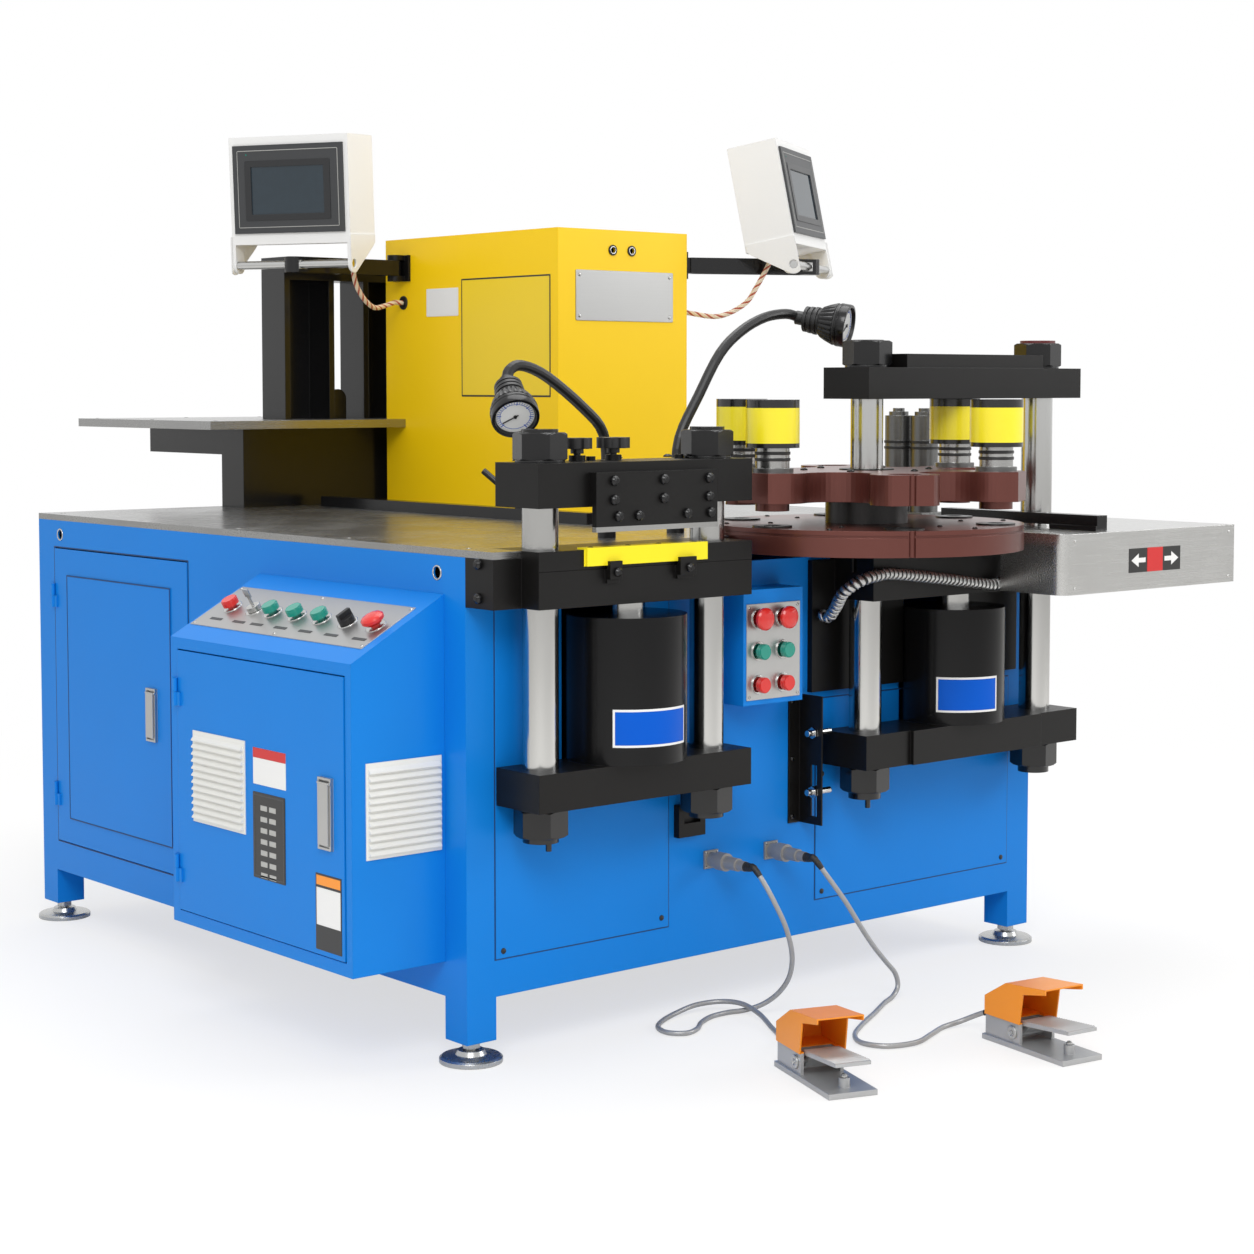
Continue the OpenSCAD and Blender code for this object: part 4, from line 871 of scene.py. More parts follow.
@dataclass(frozen=True)
class PedalCord:
    """The grey cord between a socket on the cabinet and a foot pedal."""

    node: str
    length: float
    route: tuple[Point, ...]
    pedal: PedalStand
    diameter: float = 9.0
    relief: float = 44.0
    relief_radius: float = 8.3
    relief_taper: float = 3.2
    ribs: int = 7
    rib_height: float = 0.5

    def build(self) -> None:
        path = smooth_path(LAYOUT.places([*self.route, *self.pedal.into_gland()]), 8)
        cord = build_piece(f"{self.node}_jacket",
                           lambda bm: add_tube(bm, path, lambda t: self.diameter / 2.0, 14),
                           Look.CORD_GREY)
        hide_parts(self.node)
        reliefs = [self._relief("socket", path), self._relief("pedal", path[::-1])]

    def _relief(self, end: str, path: Sequence[Vector]) -> bpy.types.Object:
        """Builds the ribbed sleeve that tapers down to the cord."""
        near = [path[0]]
        run = 0.0
        for a, b in zip(path, path[1:]):
            run += (b - a).length
            if run > self.relief * MM:
                break
            near.append(b)
        line = smooth_path(near, 8)

        def taper(t: float) -> float:
            rib = self.rib_height if math.sin(t * FULL_TURN * self.ribs) > 0.0 else 0.0
            return self.relief_radius - self.relief_taper * t + rib * (1.0 - 0.5 * t)

        return build_piece(f"{self.node}_relief_{end}",
                           lambda bm: add_tube(bm, line, taper, 20), Look.RUBBER)


CORDS = (
    PedalCord("cord_left", 1.197, (
        (537, -92, 277), (537, -103, 277), (537, -114, 277), (543, -132, 254),
        (558, -144, 218), (582, -147, 172), (607, -137, 120), (620, -118, 76), (618, -94, 42),
        (604, -68, 18), (580, -46, 6.5), (548, -34, 5), (508, -36, 5), (468, -54, 5),
        (434, -80, 5), (402, -88, 5), (380, -64, 5), (390, -28, 5), (424, -2, 5.5),
        (470, 14, 8), (520, 18, 13), (560, -4, 17), (575, -44, 18), (566, -98, 12),
        (537, -158, 6.5), (503, -216, 7), (466, -258, 15)), LEFT_PEDAL),
    PedalCord("cord_right", 1.043, (
        (684, -92, 275), (684, -103, 275), (684, -114, 275), (697, -128, 250),
        (736, -140, 196), (773, -144, 144), (808, -144, 102), (840, -143, 70),
        (865, -142, 45), (870, -144, 21), (850, -150, 6.5), (808, -169, 5), (742, -207, 5),
        (670, -246, 5), (614, -284, 5), (588, -326, 5), (606, -368, 5), (660, -384, 5),
        (716, -366, 5), (766, -348, 5), (804, -352, 9)), RIGHT_PEDAL))


@dataclass(frozen=True)
class WrappedHose:
    """Hydraulic hose with a spiral wrap, from the bracket to the gauge table."""

    route: tuple[Point, ...] = (
        (796, -12, 695), (796, -24, 695), (796, -37, 695), (787, -62, 714), (776, -94, 744),
        (794, -120, 766), (836, -125, 774), (876, -125, 774), (1010, -125, 758),
        (1100, -125, 745), (1150, -125, 741), (1184, -132, 757), (1196, -142, 796),
        (1196, -142, 822), (1196, -142, 839))
    core: float = 8.6
    wrap: float = 11.4
    band: float = 8.4
    pitch: float = 11.0
    lean: float = 0.22

    def build(self) -> None:
        """Builds the core and the turns of the wrap along it."""
        path = smooth_path(LAYOUT.places(self.route), 10)
        core = build_piece("hose_core", lambda bm: add_tube(bm, path, lambda t: self.core),
                           Look.RUBBER)
        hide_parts("wrapped_hose")
        points, along = self._turns(path)
        Scatter("hose_wrap", Form.BAND).spread("hose_wrap", points, along, self.wrap, self.band,
                                               Look.GALVANISED, "base", "connector_alloy")

    def _turns(self, path: Sequence[Vector]) -> tuple[list[Vector], list[Vector]]:
        """Finds the foot and the leaning direction of each turn, short of the table."""
        points, along = [], []
        wait = self.pitch * MM / 2.0
        for (a, b), (u, _) in zip(zip(path, path[1:]), carried_sides(path)):
            step = (b - a).length
            while wait < step:
                ahead = (b - a).normalized()
                points.append(a + ahead * wait)
                along.append(ahead + self.lean * u)
                wait += self.pitch * MM
            wait -= step
        return points[:-1], along[:-1]


@dataclass(frozen=True)
class ScreenCable:
    """Braided cable that hangs between a screen case and the housing."""

    node: str
    carrier: str
    screen: LocalFrame
    gland: Spot
    middle: tuple[Point, ...]
    end: Point
    outward: float
    gland_face: float = 32.0
    strands: int = 6
    strand_radius: float = 2.5
    braid_radius: float = 3.1
    lay_length: float = 44.0
    soft_angle: float = 60.0

    def path(self) -> list[Vector]:
        """Returns the cable's middle line."""
        matrix = self.screen.matrix()
        gx, gy = self.gland
        start = [matrix @ Vector((gx * MM, gy * MM, (self.gland_face - away) * MM))
                 for away in (0.3, 8.0, 16.0)]
        x, y, z = self.end
        stop = [(x + self.outward * away, y, z) for away in (25.0, 14.0, 3.5)]
        return smooth_path(start + LAYOUT.places([*self.middle, *stop]), 14)

    def build(self) -> None:
        """Builds the strands in two colours, between the housing and the screen case."""
        line = self.path()
        sides = carried_sides(line)
        for tone, look, picks in (("pale", Look.SLEEVE, (0, 1, 3, 4)),
                                  ("red", Look.BRAID, (2, 5))):
            def fill(bm: BMesh) -> None:
                for k in picks:
                    add_tube(bm, self._strand(line, sides, k), lambda t: self.strand_radius, 8)

            name = f"{self.node}_{tone}"
            strand = new_object(name, new_mesh(name, fill), look)
            shade_soft(strand, self.soft_angle)
            if tone == "pale":
                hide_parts(self.node)
            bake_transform(strand)
            LOG.info("%s strands bend with %s", strand.name, self.carrier)

    def _strand(self, line: Sequence[Vector], sides: Sequence[tuple[Vector, Vector]],
                k: int) -> list[Vector]:
        """Winds one strand round the cable's middle line."""
        out, run = [], 0.0
        for i, (p, (u, v)) in enumerate(zip(line, sides)):
            if i:
                run += (p - line[i - 1]).length
            a = FULL_TURN * (k / self.strands + run / (self.lay_length * MM))
            out.append(p + self.braid_radius * MM * (math.cos(a) * u + math.sin(a) * v))
        return out


SCREEN_CABLES = (
    ScreenCable("screen_cable_left", "arm_left", LEFT_SCREEN, (110.0, 60.0),
                ((626, 1240, 1342), (655, 1252, 1306), (700, 1276, 1286), (744, 1298, 1291)),
                LEFT_GROMMET, -1.0),
    ScreenCable("screen_cable_right", "arm_right", RIGHT_SCREEN, (-100.0, 66.0),
                ((1312, 702, 1330), (1294, 722, 1292), (1252, 756, 1266), (1212, 802, 1272)),
                RIGHT_GROMMET, 1.0))


# ------------------------------------------------------------------ finishes of the solids


@dataclass(frozen=True)
class Dress:
    """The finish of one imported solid, with the zones that differ."""

    node: str
    look: Look
    zones: tuple[Zone, ...] = ()


TOOL_TOP = 962.0


def pedal_zone(stand: PedalStand) -> Zone:
    """Returns the zone of a pedal's guard."""
    return Zone((-42.0, -60.0, 44.01), (42.0, 99.0, ANY), Look.ORANGE, stand.frame())


def arm_zone(screen: LocalFrame) -> Zone:
    """Returns the zone of the tilt bar at an arm's end."""
    flat = LocalFrame(screen.origin, (0.0, 0.0, screen.turn[2]))
    return Zone((-150.0, -9.5, -9.5), (150.0, 9.5, 9.5), Look.CHROME, flat)


def screen_zones(screen: LocalFrame) -> tuple[Zone, ...]:
    """Returns the zones of a screen's display unit and glass."""
    return (Zone((-134.5, -16.0, 67.5), (134.5, -10.02, 256.5), Look.BEZEL_GREY, screen),
            Zone((-90.3, -14.0, 107.7), (88.3, -11.0, 210.3), Look.GLASS, screen))


DRESSES: tuple[Dress, ...] = (
    Dress("cabinet", Look.BLUE),
    Dress("side_door", Look.BLUE, (Zone((-20.0, 995.0, 423.0), (-4.02, 1033.0, 529.0),
                                        Look.SATIN),)),
    Dress("side_latch", Look.SATIN),
    Dress("control_latch", Look.SATIN),
    Dress("control_door", Look.BLUE, (
        Zone((-210.0, 374.0, 354.0), (-186.02, 547.0, 516.0), Look.LOUVRE),
        Zone((-210.0, 106.0, 365.0), (-186.02, 146.0, 485.0), Look.SATIN))),
    Dress("control_box", Look.BLUE, (
        Zone((-158.0, 40.0, 353.0), (-7.0, 57.98, 512.0), Look.LOUVRE),
        Zone((40.5, 79.5, 0.05), (165.0, 617.5, 1.56), Look.SATIN, PANEL),
        Zone((40.5, 79.5, 1.56), (165.0, 617.5, 20.0), Look.CHROME, PANEL))),
    Dress("levelling_feet", Look.GALVANISED),
    Dress("worktops", Look.WORKTOP),
    Dress("bend_frame", Look.BLACK_GLOSS),
    Dress("housing", Look.YELLOW, (
        Zone((930.0, 740.0, 1380.0), (1016.0, 755.98, 1416.0), Look.BLACK_PLASTIC),
        Zone((-ANY, -ANY, 1200.0), (799.98, ANY, 1420.0), Look.BLACK_STEEL),
        Zone((1156.02, -ANY, 1200.0), (ANY, ANY, 1420.0), Look.BLACK_STEEL))),
    Dress("gauges", Look.BLACK_PLASTIC),
    Dress("cut_bed", Look.BLACK_STEEL, (
        Zone((150.0, -127.0, 822.9), (417.0, -99.0, 853.5), Look.BRIGHT_YELLOW),
        Zone((255.0, -95.0, 600.0), (325.0, -25.0, 756.9), Look.CHROME))),
    Dress("cut_beam", Look.BLACK_STEEL),
    Dress("cut_yoke", Look.BLACK_STEEL, (band(Look.BLACK_GLOSS, 491.1, ANY),)),
    Dress("cut_tie_rods", Look.CHROME, (band(Look.BLACK_GLOSS, -ANY, 427.9),
                                        band(Look.BLACK_GLOSS, 991.1, ANY))),
    Dress("blade_holder", Look.BLACK_STEEL, (
        Zone((100.0, -150.0, 878.0), (500.0, -110.0, 886.5), Look.STEEL),)),
    Dress("star_knob_left", Look.BLACK_PLASTIC),
    Dress("star_knob_right", Look.BLACK_PLASTIC),
    Dress("punch_bracket", Look.BLACK_STEEL, (
        Zone((1070.0, -95.0, 590.0), (1140.0, -25.0, 724.9), Look.CHROME),
        Zone((736.0, -56.0, 364.0), (754.9, -28.0, 500.0), Look.CHROME),
        Zone((758.1, -56.0, 364.0), (800.0, -28.0, 500.0), Look.CHROME))),
    Dress("punch_beam", Look.BLACK_STEEL),
    Dress("punch_yoke", Look.BLACK_STEEL, (band(Look.BLACK_GLOSS, 483.1, ANY),)),
    Dress("punch_tie_rods", Look.CHROME, (
        band(Look.BLACK_GLOSS, -ANY, 419.9),
        band(Look.BLACK_GLOSS, 1148.1, ANY),
        Zone((1290.0, -150.0, 1195.1), (1400.0, 50.0, ANY), Look.DARK_RED))),
    Dress("tool_disc", Look.BROWNED, (
        band(Look.STEEL, TOOL_TOP + 0.1, ANY),
        band(Look.DARK_STEEL, TOOL_TOP + 0.1, TOOL_TOP + 8.1),
        band(Look.RUBBER, TOOL_TOP + 20.9, TOOL_TOP + 26.1),
        band(Look.RUBBER, TOOL_TOP + 31.9, TOOL_TOP + 37.1))),
    Dress("die_disc", Look.BROWNED, (band(Look.BLACK_STEEL, 866.1, ANY),)),
    *(Dress(f"punch_head_{i}", Look.BRIGHT_YELLOW, (
        band(Look.STEEL, -ANY, 1005.9),
        band(Look.BLACK_GLOSS, 1005.9, 1014.0),
        band(Look.BLACK_GLOSS, 1076.0, ANY))) for i in (1, 2, 3, 4)),
    Dress("spare_tools", Look.DARK_STEEL, (
        band(Look.RUBBER, 985.9, 991.1),
        band(Look.RUBBER, 997.9, 1003.1))),
    Dress("gauge_trough", Look.STAINLESS),
    Dress("gauge_fence", Look.BLACK_GLOSS),
    Dress("pendant_box", Look.BLUE, (
        Zone((566.5, -61.7, 561.5), (697.5, -60.02, 732.5), Look.SATIN),
        Zone((566.5, -70.0, 561.5), (697.5, -61.7, 732.5), Look.CHROME))),
    Dress("connectors", Look.CONNECTOR),
    Dress("pedal_bases", Look.ALLOY, (pedal_zone(LEFT_PEDAL), pedal_zone(RIGHT_PEDAL))),
    Dress("treadle_left", Look.ALLOY),
    Dress("treadle_right", Look.ALLOY),
    Dress("screen_case_left", Look.WHITE, screen_zones(LEFT_SCREEN)),
    Dress("screen_case_right", Look.WHITE, screen_zones(RIGHT_SCREEN)),
    Dress("screen_arm_left", Look.BLACK_GLOSS, (arm_zone(LEFT_SCREEN),)),
    Dress("screen_arm_right", Look.BLACK_GLOSS, (arm_zone(RIGHT_SCREEN),)),
    Dress("switchgear", Look.RELAY, (Zone((-17.0, 0.0, 0.0), (0.0, ANY, ANY), Look.STEEL),)),
    Dress("hydraulic_unit", Look.TANK),
    Dress("red_button", Look.RED),
    Dress("stop_mushroom", Look.RED),
    Dress("key_switch", Look.CHROME),
    Dress("selector", Look.BLACK_PLASTIC),
    *(Dress(f"green_button_{i}", Look.GREEN) for i in (1, 2, 3)),
    *(Dress(f"pendant_mushroom_{i}", Look.RED) for i in (1, 2)),
    *(Dress(f"pendant_green_{i}", Look.GREEN) for i in (1, 2)),
    *(Dress(f"pendant_red_{i}", Look.RED) for i in (1, 2)),
)


def dress_solids(nodes: dict[str, bpy.types.Object]) -> None:
    """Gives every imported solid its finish.

    Args:
        nodes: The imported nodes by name.
    """
    for dress in DRESSES:
        name = f"finish_{dress.node}" if dress.zones else dress.look.value.name
        mesh = nodes[dress.node].data
        mesh.materials.clear()
        mesh.materials.append(PAINT.zoned(name, dress.look, dress.zones))
        LOG.info("%s dressed", dress.node)
    bare = sorted(set(nodes) - {d.node for d in DRESSES})
    LOG.info("replaced by their own pieces: %s", ", ".join(bare))


# ------------------------------------------------------------------ plates and signs


@dataclass(frozen=True)
class Field:
    """One coloured field of a plate, with rounded corners, from the plate's centre.

    `base` and `top` are the heights of its foot and face, `corner` is the radius of its
    corners, and `hole` holds the low and high corner of a window.
    """

    low: Spot
    high: Spot
    look: Look
    base: float = 0.0
    top: float = 0.5
    corner: float = 1.0
    hole: tuple[Spot, Spot] | None = None

    def fill(self, bm: BMesh) -> None:
        """Adds the field to a mesh, with its face's edge eased."""
        def ring(a: Spot, b: Spot, r: float, z: float) -> Ring:
            verts = []
            for cx, cy, start in ((b[0] - r, b[1] - r, 0), (a[0] + r, b[1] - r, 90),
                                  (a[0] + r, a[1] + r, 180), (b[0] - r, a[1] + r, 270)):
                for k in range(5):
                    t = math.radians(start + 22.5 * k)
                    verts.append(bm.verts.new(((cx + r * math.cos(t)) * MM,
                                               (cy + r * math.sin(t)) * MM, z * MM)))
            return verts

        ease = min(0.3, (self.top - self.base) / 2.0)
        rings = [ring(self.low, self.high, self.corner, self.base),
                 ring(self.low, self.high, self.corner, self.top - ease),
                 ring((self.low[0] + ease, self.low[1] + ease),
                      (self.high[0] - ease, self.high[1] - ease),
                      max(self.corner - ease, 0.05), self.top)]
        if self.hole is not None:
            rings += [ring(*self.hole, 0.8, z) for z in (self.top, self.base)] + rings[:1]
        bridge(bm, rings, caps=self.hole is None)


def middle(half_x: float, half_z: float, look: Look, *rest) -> Field:
    """Returns a field round the plate's centre, from half its width and height."""
    return Field((-half_x, -half_z), (half_x, half_z), look, *rest)


@dataclass(frozen=True)
class Plate:
    """A flat plate of one or more fields, fixed to a face of the machine."""

    name: str
    centre: Point
    outward: Point
    fields: tuple[Field, ...]
    body: str = "base"
    slot: str = "case_white"

    def build(self) -> None:
        """Builds each field as a piece of its own."""
        place = facing(LAYOUT.place(*self.centre), self.outward)
        for i, part in enumerate(self.fields):
            build_piece(f"{self.name}_{i + 1}", part.fill, part.look, self.body,
                        place)


def panel_seam_shade(name: str, centre: Point, outward: Point, width: float, height: float,
               body: str = "base") -> Plate:
    """Returns the painted seam shade: a dark line of painted shade round a panel of a width and
    height, where its gap lies.
    """
    x, z = width / 2.0, height / 2.0
    line = middle(x + 2.4, z + 2.4, Look.SEAM, 0.0, 0.4, 1.0, ((-x, -z), (x, z)))
    return Plate(name, centre, outward, (line,), body, "machine_blue")


def cells() -> tuple[Field, ...]:
    """Returns the small plain cells on the control door's dark plate."""
    return tuple(Field((x, z - 9.0), (x + 21.0, z), Look.RELAY, 0.8, 1.1)
                 for z in (52.0 - row * 19.0 for row in range(7)) for x in (-26.0, 1.0))


def captions() -> tuple[Field, ...]:
    """Returns the bare caption strips under the controls of the sloped panel."""
    rows = (561.0, 486.0, 428.0, 352.0, 275.0, 197.0, 115.0)
    return tuple(Field((348.0 - y - 19.0, -3.4), (348.0 - y + 19.0, 3.4), Look.BEZEL_GREY,
                       0.0, 0.3, 0.8) for y in rows)


ARROW_SIGN = (1418.0, -290.0, 785.0)
PLATES: tuple[Plate, ...] = (
    # The panel seams below are painted shade: dark lines where shade falls in the gaps round the
    # panels and the side door.
    panel_seam_shade("front_seam_left", (248.0, 0.0, 463.0), FRONT, 378.0, 584.0),
    panel_seam_shade("front_seam_right", (1066.5, 0.0, 354.0), FRONT, 535.0, 372.0),
    panel_seam_shade("side_seam", (0.0, 1151.0, 476.5), LEFT, 540.0, 611.0),
    panel_seam_shade("back_seam_left", (1060.0, 1490.0, 460.0), BACK, 560.0, 560.0),
    panel_seam_shade("back_seam_right", (360.0, 1490.0, 460.0), BACK, 560.0, 560.0),
    panel_seam_shade("right_seam", (1400.0, 960.0, 460.0), RIGHT, 800.0, 560.0),
    panel_seam_shade("side_door_seam", (-4.0, 1153.5, 475.5), LEFT, 415.0, 499.0, "side_door"),
    Plate("name_plate", (981.0, 756.0, 1302.5), FRONT, (
        middle(134.0, 52.5, Look.NAME_PLATE, 0.0, 1.6, 3.0),)),
    Plate("yellow_placard", (800.0, 934.5, 1218.0), LEFT, (
        middle(154.5, 127.0, Look.SIGN_BLACK, 0.0, 0.4, 2.0),
        middle(151.0, 123.5, Look.SIGN_YELLOW, 0.3, 0.7))),
    Plate("white_placard", (800.0, 1159.0, 1296.5), LEFT, (
        middle(59.0, 30.5, Look.SIGN_WHITE, 0.0, 0.5, 2.0),)),
    Plate("arrow_sign", ARROW_SIGN, FRONT, (
        middle(79.0, 23.0, Look.SIGN_BLACK),
        middle(24.0, 23.0, Look.SIGN_RED, 0.4, 0.8, 0.5))),
    Plate("door_label", (-186.0, 299.0, 477.0), LEFT, (
        middle(51.0, 31.0, Look.SIGN_WHITE),
        Field((-51.0, 14.0), (51.0, 31.0), Look.SIGN_RED, 0.4, 0.7)), "control_door"),
    Plate("door_keypad", (-186.0, 301.0, 360.0), LEFT, (
        middle(50.0, 73.0, Look.SIGN_BLACK, 0.0, 0.9, 2.0),
        middle(47.0, 70.0, Look.BEZEL_GREY, 0.8, 1.1, 1.5, ((-44.0, -67.0), (44.0, 67.0))),
        *cells()), "control_door"),
    Plate("door_tag", (-186.0, 123.0, 261.0), LEFT, (
        middle(38.0, 63.0, Look.SIGN_BLACK),
        Field((-35.0, -22.0), (35.0, 40.0), Look.SIGN_WHITE, 0.4, 0.7, 0.5),
        Field((-35.0, 44.0), (35.0, 60.0), Look.ORANGE, 0.4, 0.7, 0.5)), "control_door"),
    Plate("caption_strips", on_panel(64.0, 348.0, 1.55), PANEL_OUT, captions()),
)


@dataclass(frozen=True)
class ArrowPair:
    """Two white arrows that point away from each other on the gauge table's sign."""

    outline: tuple[Spot, ...] = ((29.0, -4.5), (50.0, -4.5), (50.0, -13.0), (72.0, 0.0),
                                 (50.0, 13.0), (50.0, 4.5), (29.0, 4.5))

    def build(self) -> None:
        """Builds both arrows as one thin piece."""
        def fill(bm: BMesh) -> None:
            for side in (-1.0, 1.0):
                bridge(bm, [[bm.verts.new((side * x * MM, y * MM, z * MM))
                             for x, y in self.outline] for z in (0.4, 0.9)])

        build_piece("arrow_pair", fill, Look.SIGN_WHITE,
                    place=facing(LAYOUT.place(*ARROW_SIGN), FRONT), smooth=False)


@dataclass(frozen=True)
class BarrelSign:
    """A bare blue sign with a white rim, bent round a press's cylinder."""

    body: str
    axis: Spot
    radius: float
    bearing: float
    half_turn: float
    low: float
    high: float
    rim: float = 4.0
    steps: int = 40

    def build(self) -> None:
        """Builds the white sheet and the blue field over it."""
        self._sheet("rim", Look.SIGN_WHITE, 0.05, 0.55, 0.0)
        self._sheet("field", Look.SIGN_BLUE, 0.45, 0.85, self.rim)

    def _sheet(self, part: str, look: Look, inner: float, outer: float, inset: float) -> None:
        """Builds one bent sheet between two heights over the cylinder."""
        half = math.radians(self.half_turn) - inset / self.radius
        start = math.radians(self.bearing) - half
        low, high = self.low + inset, self.high - inset

        def corner(a: float, out: float, z: float) -> Vector:
            reach = self.radius + out
            return LAYOUT.place(self.axis[0] + reach * math.cos(a),
                                self.axis[1] + reach * math.sin(a), z)

        def fill(bm: BMesh) -> None:
            angles = [start + 2.0 * half * k / self.steps for k in range(self.steps + 1)]
            section = ((inner, low), (outer, low), (outer, high), (inner, high))
            bridge(bm, [[bm.verts.new(corner(a, out, z)) for out, z in section]
                        for a in angles])

        build_piece(f"{self.body}_sign_{part}", fill, look, self.body)


BARREL_SIGNS = (BarrelSign("shear", (290.0, -60.0), 103.0, -102.0, 40.6, 522.0, 585.0),
                BarrelSign("punch", (1105.0, -60.0), 98.0, -119.0, 37.0, 507.0, 573.0))


# ------------------------------------------------------------------ screens and gauges


SCREENS = (("left", LEFT_SCREEN), ("right", RIGHT_SCREEN))


@dataclass(frozen=True)
class ScreenFace:
    """The trim line, inner frame and lamp of one display."""

    side: str
    frame: LocalFrame
    front: float = -15.0
    trim: Field = Field((-123.0, 80.0), (123.0, 245.0), Look.RELAY, 0.0, 0.5, 3.0,
                        ((-121.4, 81.6), (121.4, 243.4)))
    inner: Field = Field((-105.0, 95.0), (103.0, 223.0), Look.BEZEL_DARK, 0.0, 1.2, 3.0,
                         ((-89.7, 108.3), (87.7, 209.7)))
    lamp: Spot = (-100.0, 236.0)
    lamp_outline: tuple[Spot, ...] = ((0.0, 0.0), (1.6, 0.0), (1.6, 0.7), (0.0, 0.9))

    def build(self) -> None:
        """Builds the pieces on the display's front."""
        body = f"screen_{self.side}"
        place = (self.frame.matrix() @ Matrix.Translation((0.0, self.front * MM, 0.0))
                 @ Matrix.Rotation(math.radians(90.0), 4, "X"))
        for name, part in (("trim", self.trim), ("inner_frame", self.inner)):
            build_piece(f"{body}_{name}", part.fill, part.look, body, place)
        spot = Matrix.Translation((self.lamp[0] * MM, self.lamp[1] * MM, 0.0))
        build_piece(f"{body}_lamp", lambda bm: add_lathe(bm, self.lamp_outline, 20),
                    Look.GREEN, body, place @ spot)


@dataclass(frozen=True)
class Dial:
    """White dial of one pressure gauge with its blue scale."""

    side: str
    neck: Point
    outward: Point
    depth: float = 98.0
    radius: float = 32.6
    marks: int = 31
    sweep: float = 270.0

    def build(self) -> None:
        """Builds the face, the scale ring and the marks."""
        direction = Vector(self.outward).normalized()
        place = facing(LAYOUT.place(*self.neck) + direction * self.depth * MM, direction)
        r = self.radius
        face = ((0.0, 0.05), (r, 0.05), (r, 0.5), (0.0, 0.5))
        scale = ((r - 7.4, 0.45), (r - 6.6, 0.45), (r - 6.6, 0.7), (r - 7.4, 0.7),
                 (r - 7.4, 0.45))
        for part, look, fill in (("face", Look.DIAL, lambda bm: add_lathe(bm, face)),
                                 ("scale", Look.SIGN_BLUE, lambda bm: add_lathe(bm, scale)),
                                 ("marks", Look.SIGN_BLUE, self._fill_marks)):
            build_piece(f"{self.side}_dial_{part}", fill, look, place=place,
                        smooth=part != "marks")

    def _fill_marks(self, bm: BMesh) -> None:
        """Adds the marks round the scale, every fifth one long."""
        far = self.radius - 1.6
        for k in range(self.marks):
            turn = math.radians(90.0 + self.sweep / 2.0 - self.sweep * k / (self.marks - 1))
            length, half = (7.5, 0.75) if k % 5 == 0 else (4.6, 0.4)
            bmesh.ops.rotate(bm, cent=(0, 0, 0), matrix=Matrix.Rotation(turn, 3, "Z"),
                             verts=add_box(bm, (far - length, -half, 0.45), (far, half, 0.75)))


@dataclass(frozen=True)
class GaugeSleeve:
    """Fluted sleeve and ribbed rim of one pressure gauge.

    `sleeve` lists a radius, how far the flutes stand out and a height, and `rim` lists a
    radius and a height.
    """

    side: str
    neck: Point
    outward: Point
    flutes: int = 24
    sleeve: tuple[Point, ...] = ((26.0, 0.0, 50.5), (27.6, 1.4, 52.0), (32.5, 2.2, 64.0),
                                 (37.2, 2.2, 77.0), (38.2, 1.2, 79.5), (38.4, 0.0, 80.4))
    rim: tuple[Spot, ...] = ((39.1, 84.0), (40.6, 85.0), (40.6, 88.5), (39.6, 89.2),
                             (39.6, 91.0), (40.6, 91.7), (40.6, 101.0), (39.8, 104.2),
                             (35.2, 104.6), (35.0, 103.6))

    def build(self) -> None:
        """Builds the sleeve over the gauge's cone and the rim round its dial."""
        sleeve = [(self._ridged(r, depth), z) for r, depth, z in self.sleeve]
        rim = [(self._ridged(r, 0.0), z) for r, z in self.rim]
        place = facing(LAYOUT.place(*self.neck), Vector(self.outward).normalized())
        for part, fill in (("sleeve", lambda bm: add_turned(bm, sleeve, 192)),
                           ("rim", lambda bm: add_turned(bm, rim, 96, closed=True))):
            build_piece(f"{self.side}_gauge_{part}", fill, Look.BLACK_GLOSS,
                        place=place)

    def _ridged(self, radius: float, depth: float) -> Callable[[float], float]:
        """Returns a radius that swells with each flute."""
        return lambda a: radius + depth * (0.5 + 0.5 * math.cos(self.flutes * a)) ** 0.5


GAUGES = (("left", (161.0, 98.0, 1124.0), (-0.362, -0.703, -0.61)),
          ("right", (872.0, 130.0, 1243.0), (0.473, -0.862, -0.17)))


# ------------------------------------------------------------------ fasteners


@dataclass(frozen=True)
class ScrewSet:
    """Equal screws or rivets on one flat face."""

    name: str
    form: Form
    places: tuple[Point, ...]
    outward: Point
    radius: float
    height: float
    look: Look
    body: str = "base"

    def build(self) -> None:
        """Builds the set."""
        points = LAYOUT.places(self.places)
        Scatter(self.name, self.form).spread(
            self.name, points, [Vector(self.outward)] * len(points), self.radius, self.height,
            self.look, self.body, "tool_steel")


